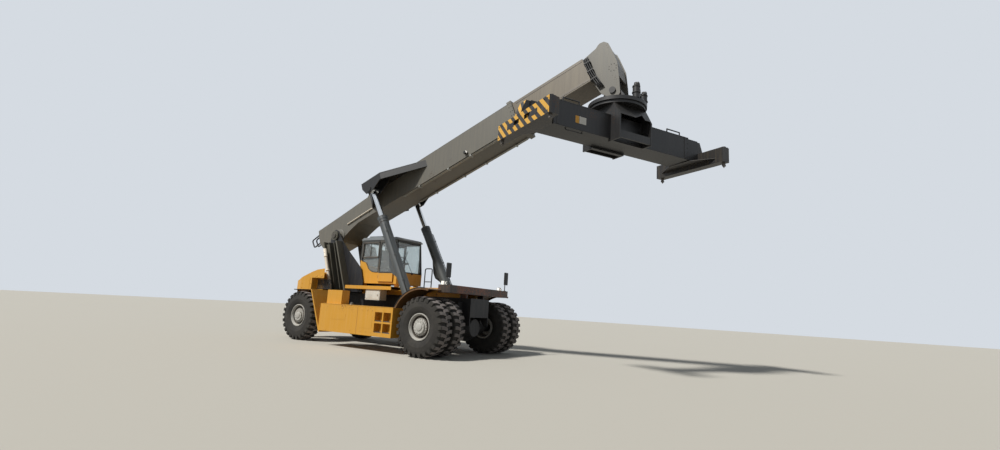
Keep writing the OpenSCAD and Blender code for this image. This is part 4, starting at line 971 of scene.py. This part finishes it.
def hazard_colour(tree, coordinates):
    """Yellow and black stripes at 45 degrees on the outer faces, and black on the others."""
    turned = add(tree, "Mapping", coordinates.outputs["Object"], vector_type="TEXTURE",
                 Location=(HEAD_X, 0, SPREADER_HEIGHT), Rotation=(0, 0, -SPREADER_TURN))
    axes = add(tree, "SeparateXYZ", turned)
    slant = add(tree, "Math", axes, axes.outputs[2], operation="ADD")
    turns = add(tree, "Math", slant, STRIPE_STEP, operation="DIVIDE")
    part = add(tree, "Math", turns, operation="FRACT")
    stripe = add(tree, "MapRange", part, From_Min=0.49, From_Max=0.51)
    lean = add(tree, "VectorRotate", coordinates.outputs["Normal"], rotation_type="Z_AXIS",
               Angle=SPREADER_TURN)
    faces = add(tree, "SeparateXYZ", lean)
    side = add(tree, "Math", axes.outputs[1], operation="SIGN")
    out = add(tree, "Math", faces.outputs[1], side, operation="MULTIPLY")
    end_face = add(tree, "Math", out, 0.8, operation="GREATER_THAN")
    striped = add(tree, "MixRGB", stripe, Color1=linear("#DDAA42"), Color2=linear("#1B1B1C"))
    return add(tree, "MixRGB", end_face, Color2=striped, Color1=linear("#222224"))


striped_enamel = enamel("hazard_striped_enamel", "#E0A63C", "#9B8A6A", "#4A2E1C", dust_share=0.3,
                        streaks=0.12, colour=hazard_colour)
dress(striped_enamel, "end_beam_right", "end_beam_left")
dress(bare_steel, "lock_right_rear", "lock_right_front", "lock_left_rear", "lock_left_front")
block((BEAM_FACE, -1.57, 0.33), (BEAM_FACE + 0.004, -1.355, 0.52), 0.001)
bolts([(BEAM_FACE + 0.0035, u, z) for u in (-1.555, -1.37) for z in (0.345, 0.505)], (1, 0, 0), 0.006, 0.003)
finished("beam_plate", pale, "spreader", SPREADER)
block((BEAM_FACE, -1.69, 0.33), (BEAM_FACE + 0.004, -1.58, 0.52), 0.001)
finished("beam_plate_yellow", yellow, "spreader", SPREADER)
for side in (-1, 1):
    v = side * BEAM_FACE
    for z in (0.165, 0.80):
        bar((v, -BEAM_HALF, z), (v, BEAM_HALF, z), 0.005, steps=8)
    for u in (-2.22, 2.22):
        block((v, u - 0.03, 0.17), (v + side * 0.013, u + 0.03, 0.80), 0.003)
    for u in (-2.32, 2.32):
        heads = [(v + side * 0.0005, u, z) for z in (0.22, 0.36, 0.50, 0.64, 0.78)]
        bolts(heads, (side, 0, 0), 0.012, 0.010)
for u in (-1.80, 1.80):
    block((-0.20, u - 0.16, 0.8185), (0.20, u + 0.16, 0.905), 0.010)
    for v in (-0.13, -0.05, 0.05, 0.13):
        bar((v, u + 0.06, 0.905), (v, u + 0.06, 0.935), 0.016, steps=6)
finished("beam_trim", beam_black, "spreader", SPREADER)
for side in (-1, 1):
    for z in (0.30, 0.345):
        route = ((-0.395, 2.15), (-0.424, 2.10), (-0.424, 1.50), (-0.395, 1.45))
        pipe([(v, side * u, z) for v, u in route], 0.010, 0.02)
pipe([(0.30, -1.93, 0.152), (0.34, -1.93, 0.10), (0.384, -1.70, 0.09), (0.34, -1.42, 0.10),
      (0.30, -1.42, 0.152)], 0.013, 0.05)
finished("beam_pipes", hose_black, "spreader", SPREADER)
for side, word in SIDES:
    for v, place in ((-LOCK_V, "rear"), (LOCK_V, "front")):
        u = side * LOCK_U
        block((v - 0.085, u - 0.085, 0.419), (v + 0.085, u + 0.085, 0.436), 0.004)
        bolt_circle((v, u, 0.436), 0.095, 4, (0, 0, 1), 0.010, 0.010, math.pi / 4)
        finished(f"lock_cap_{word}_{place}", beam_black, f"arm_{word}", SPREADER)
    u = side * END_FACE
    heads = [(v, u + side * 0.0015, z) for v in (-1.16, -1.02, 1.02, 1.16) for z in (0.06, 0.36)]
    bolts(heads, (0, side, 0), 0.012, 0.010)
    for v in (-0.55, 0.55):
        block((v - 0.17, u, 0.14), (v + 0.17, u + side * 0.006, 0.28), 0.002)
    finished(f"end_slots_{word}", beam_black, f"arm_{word}", SPREADER)
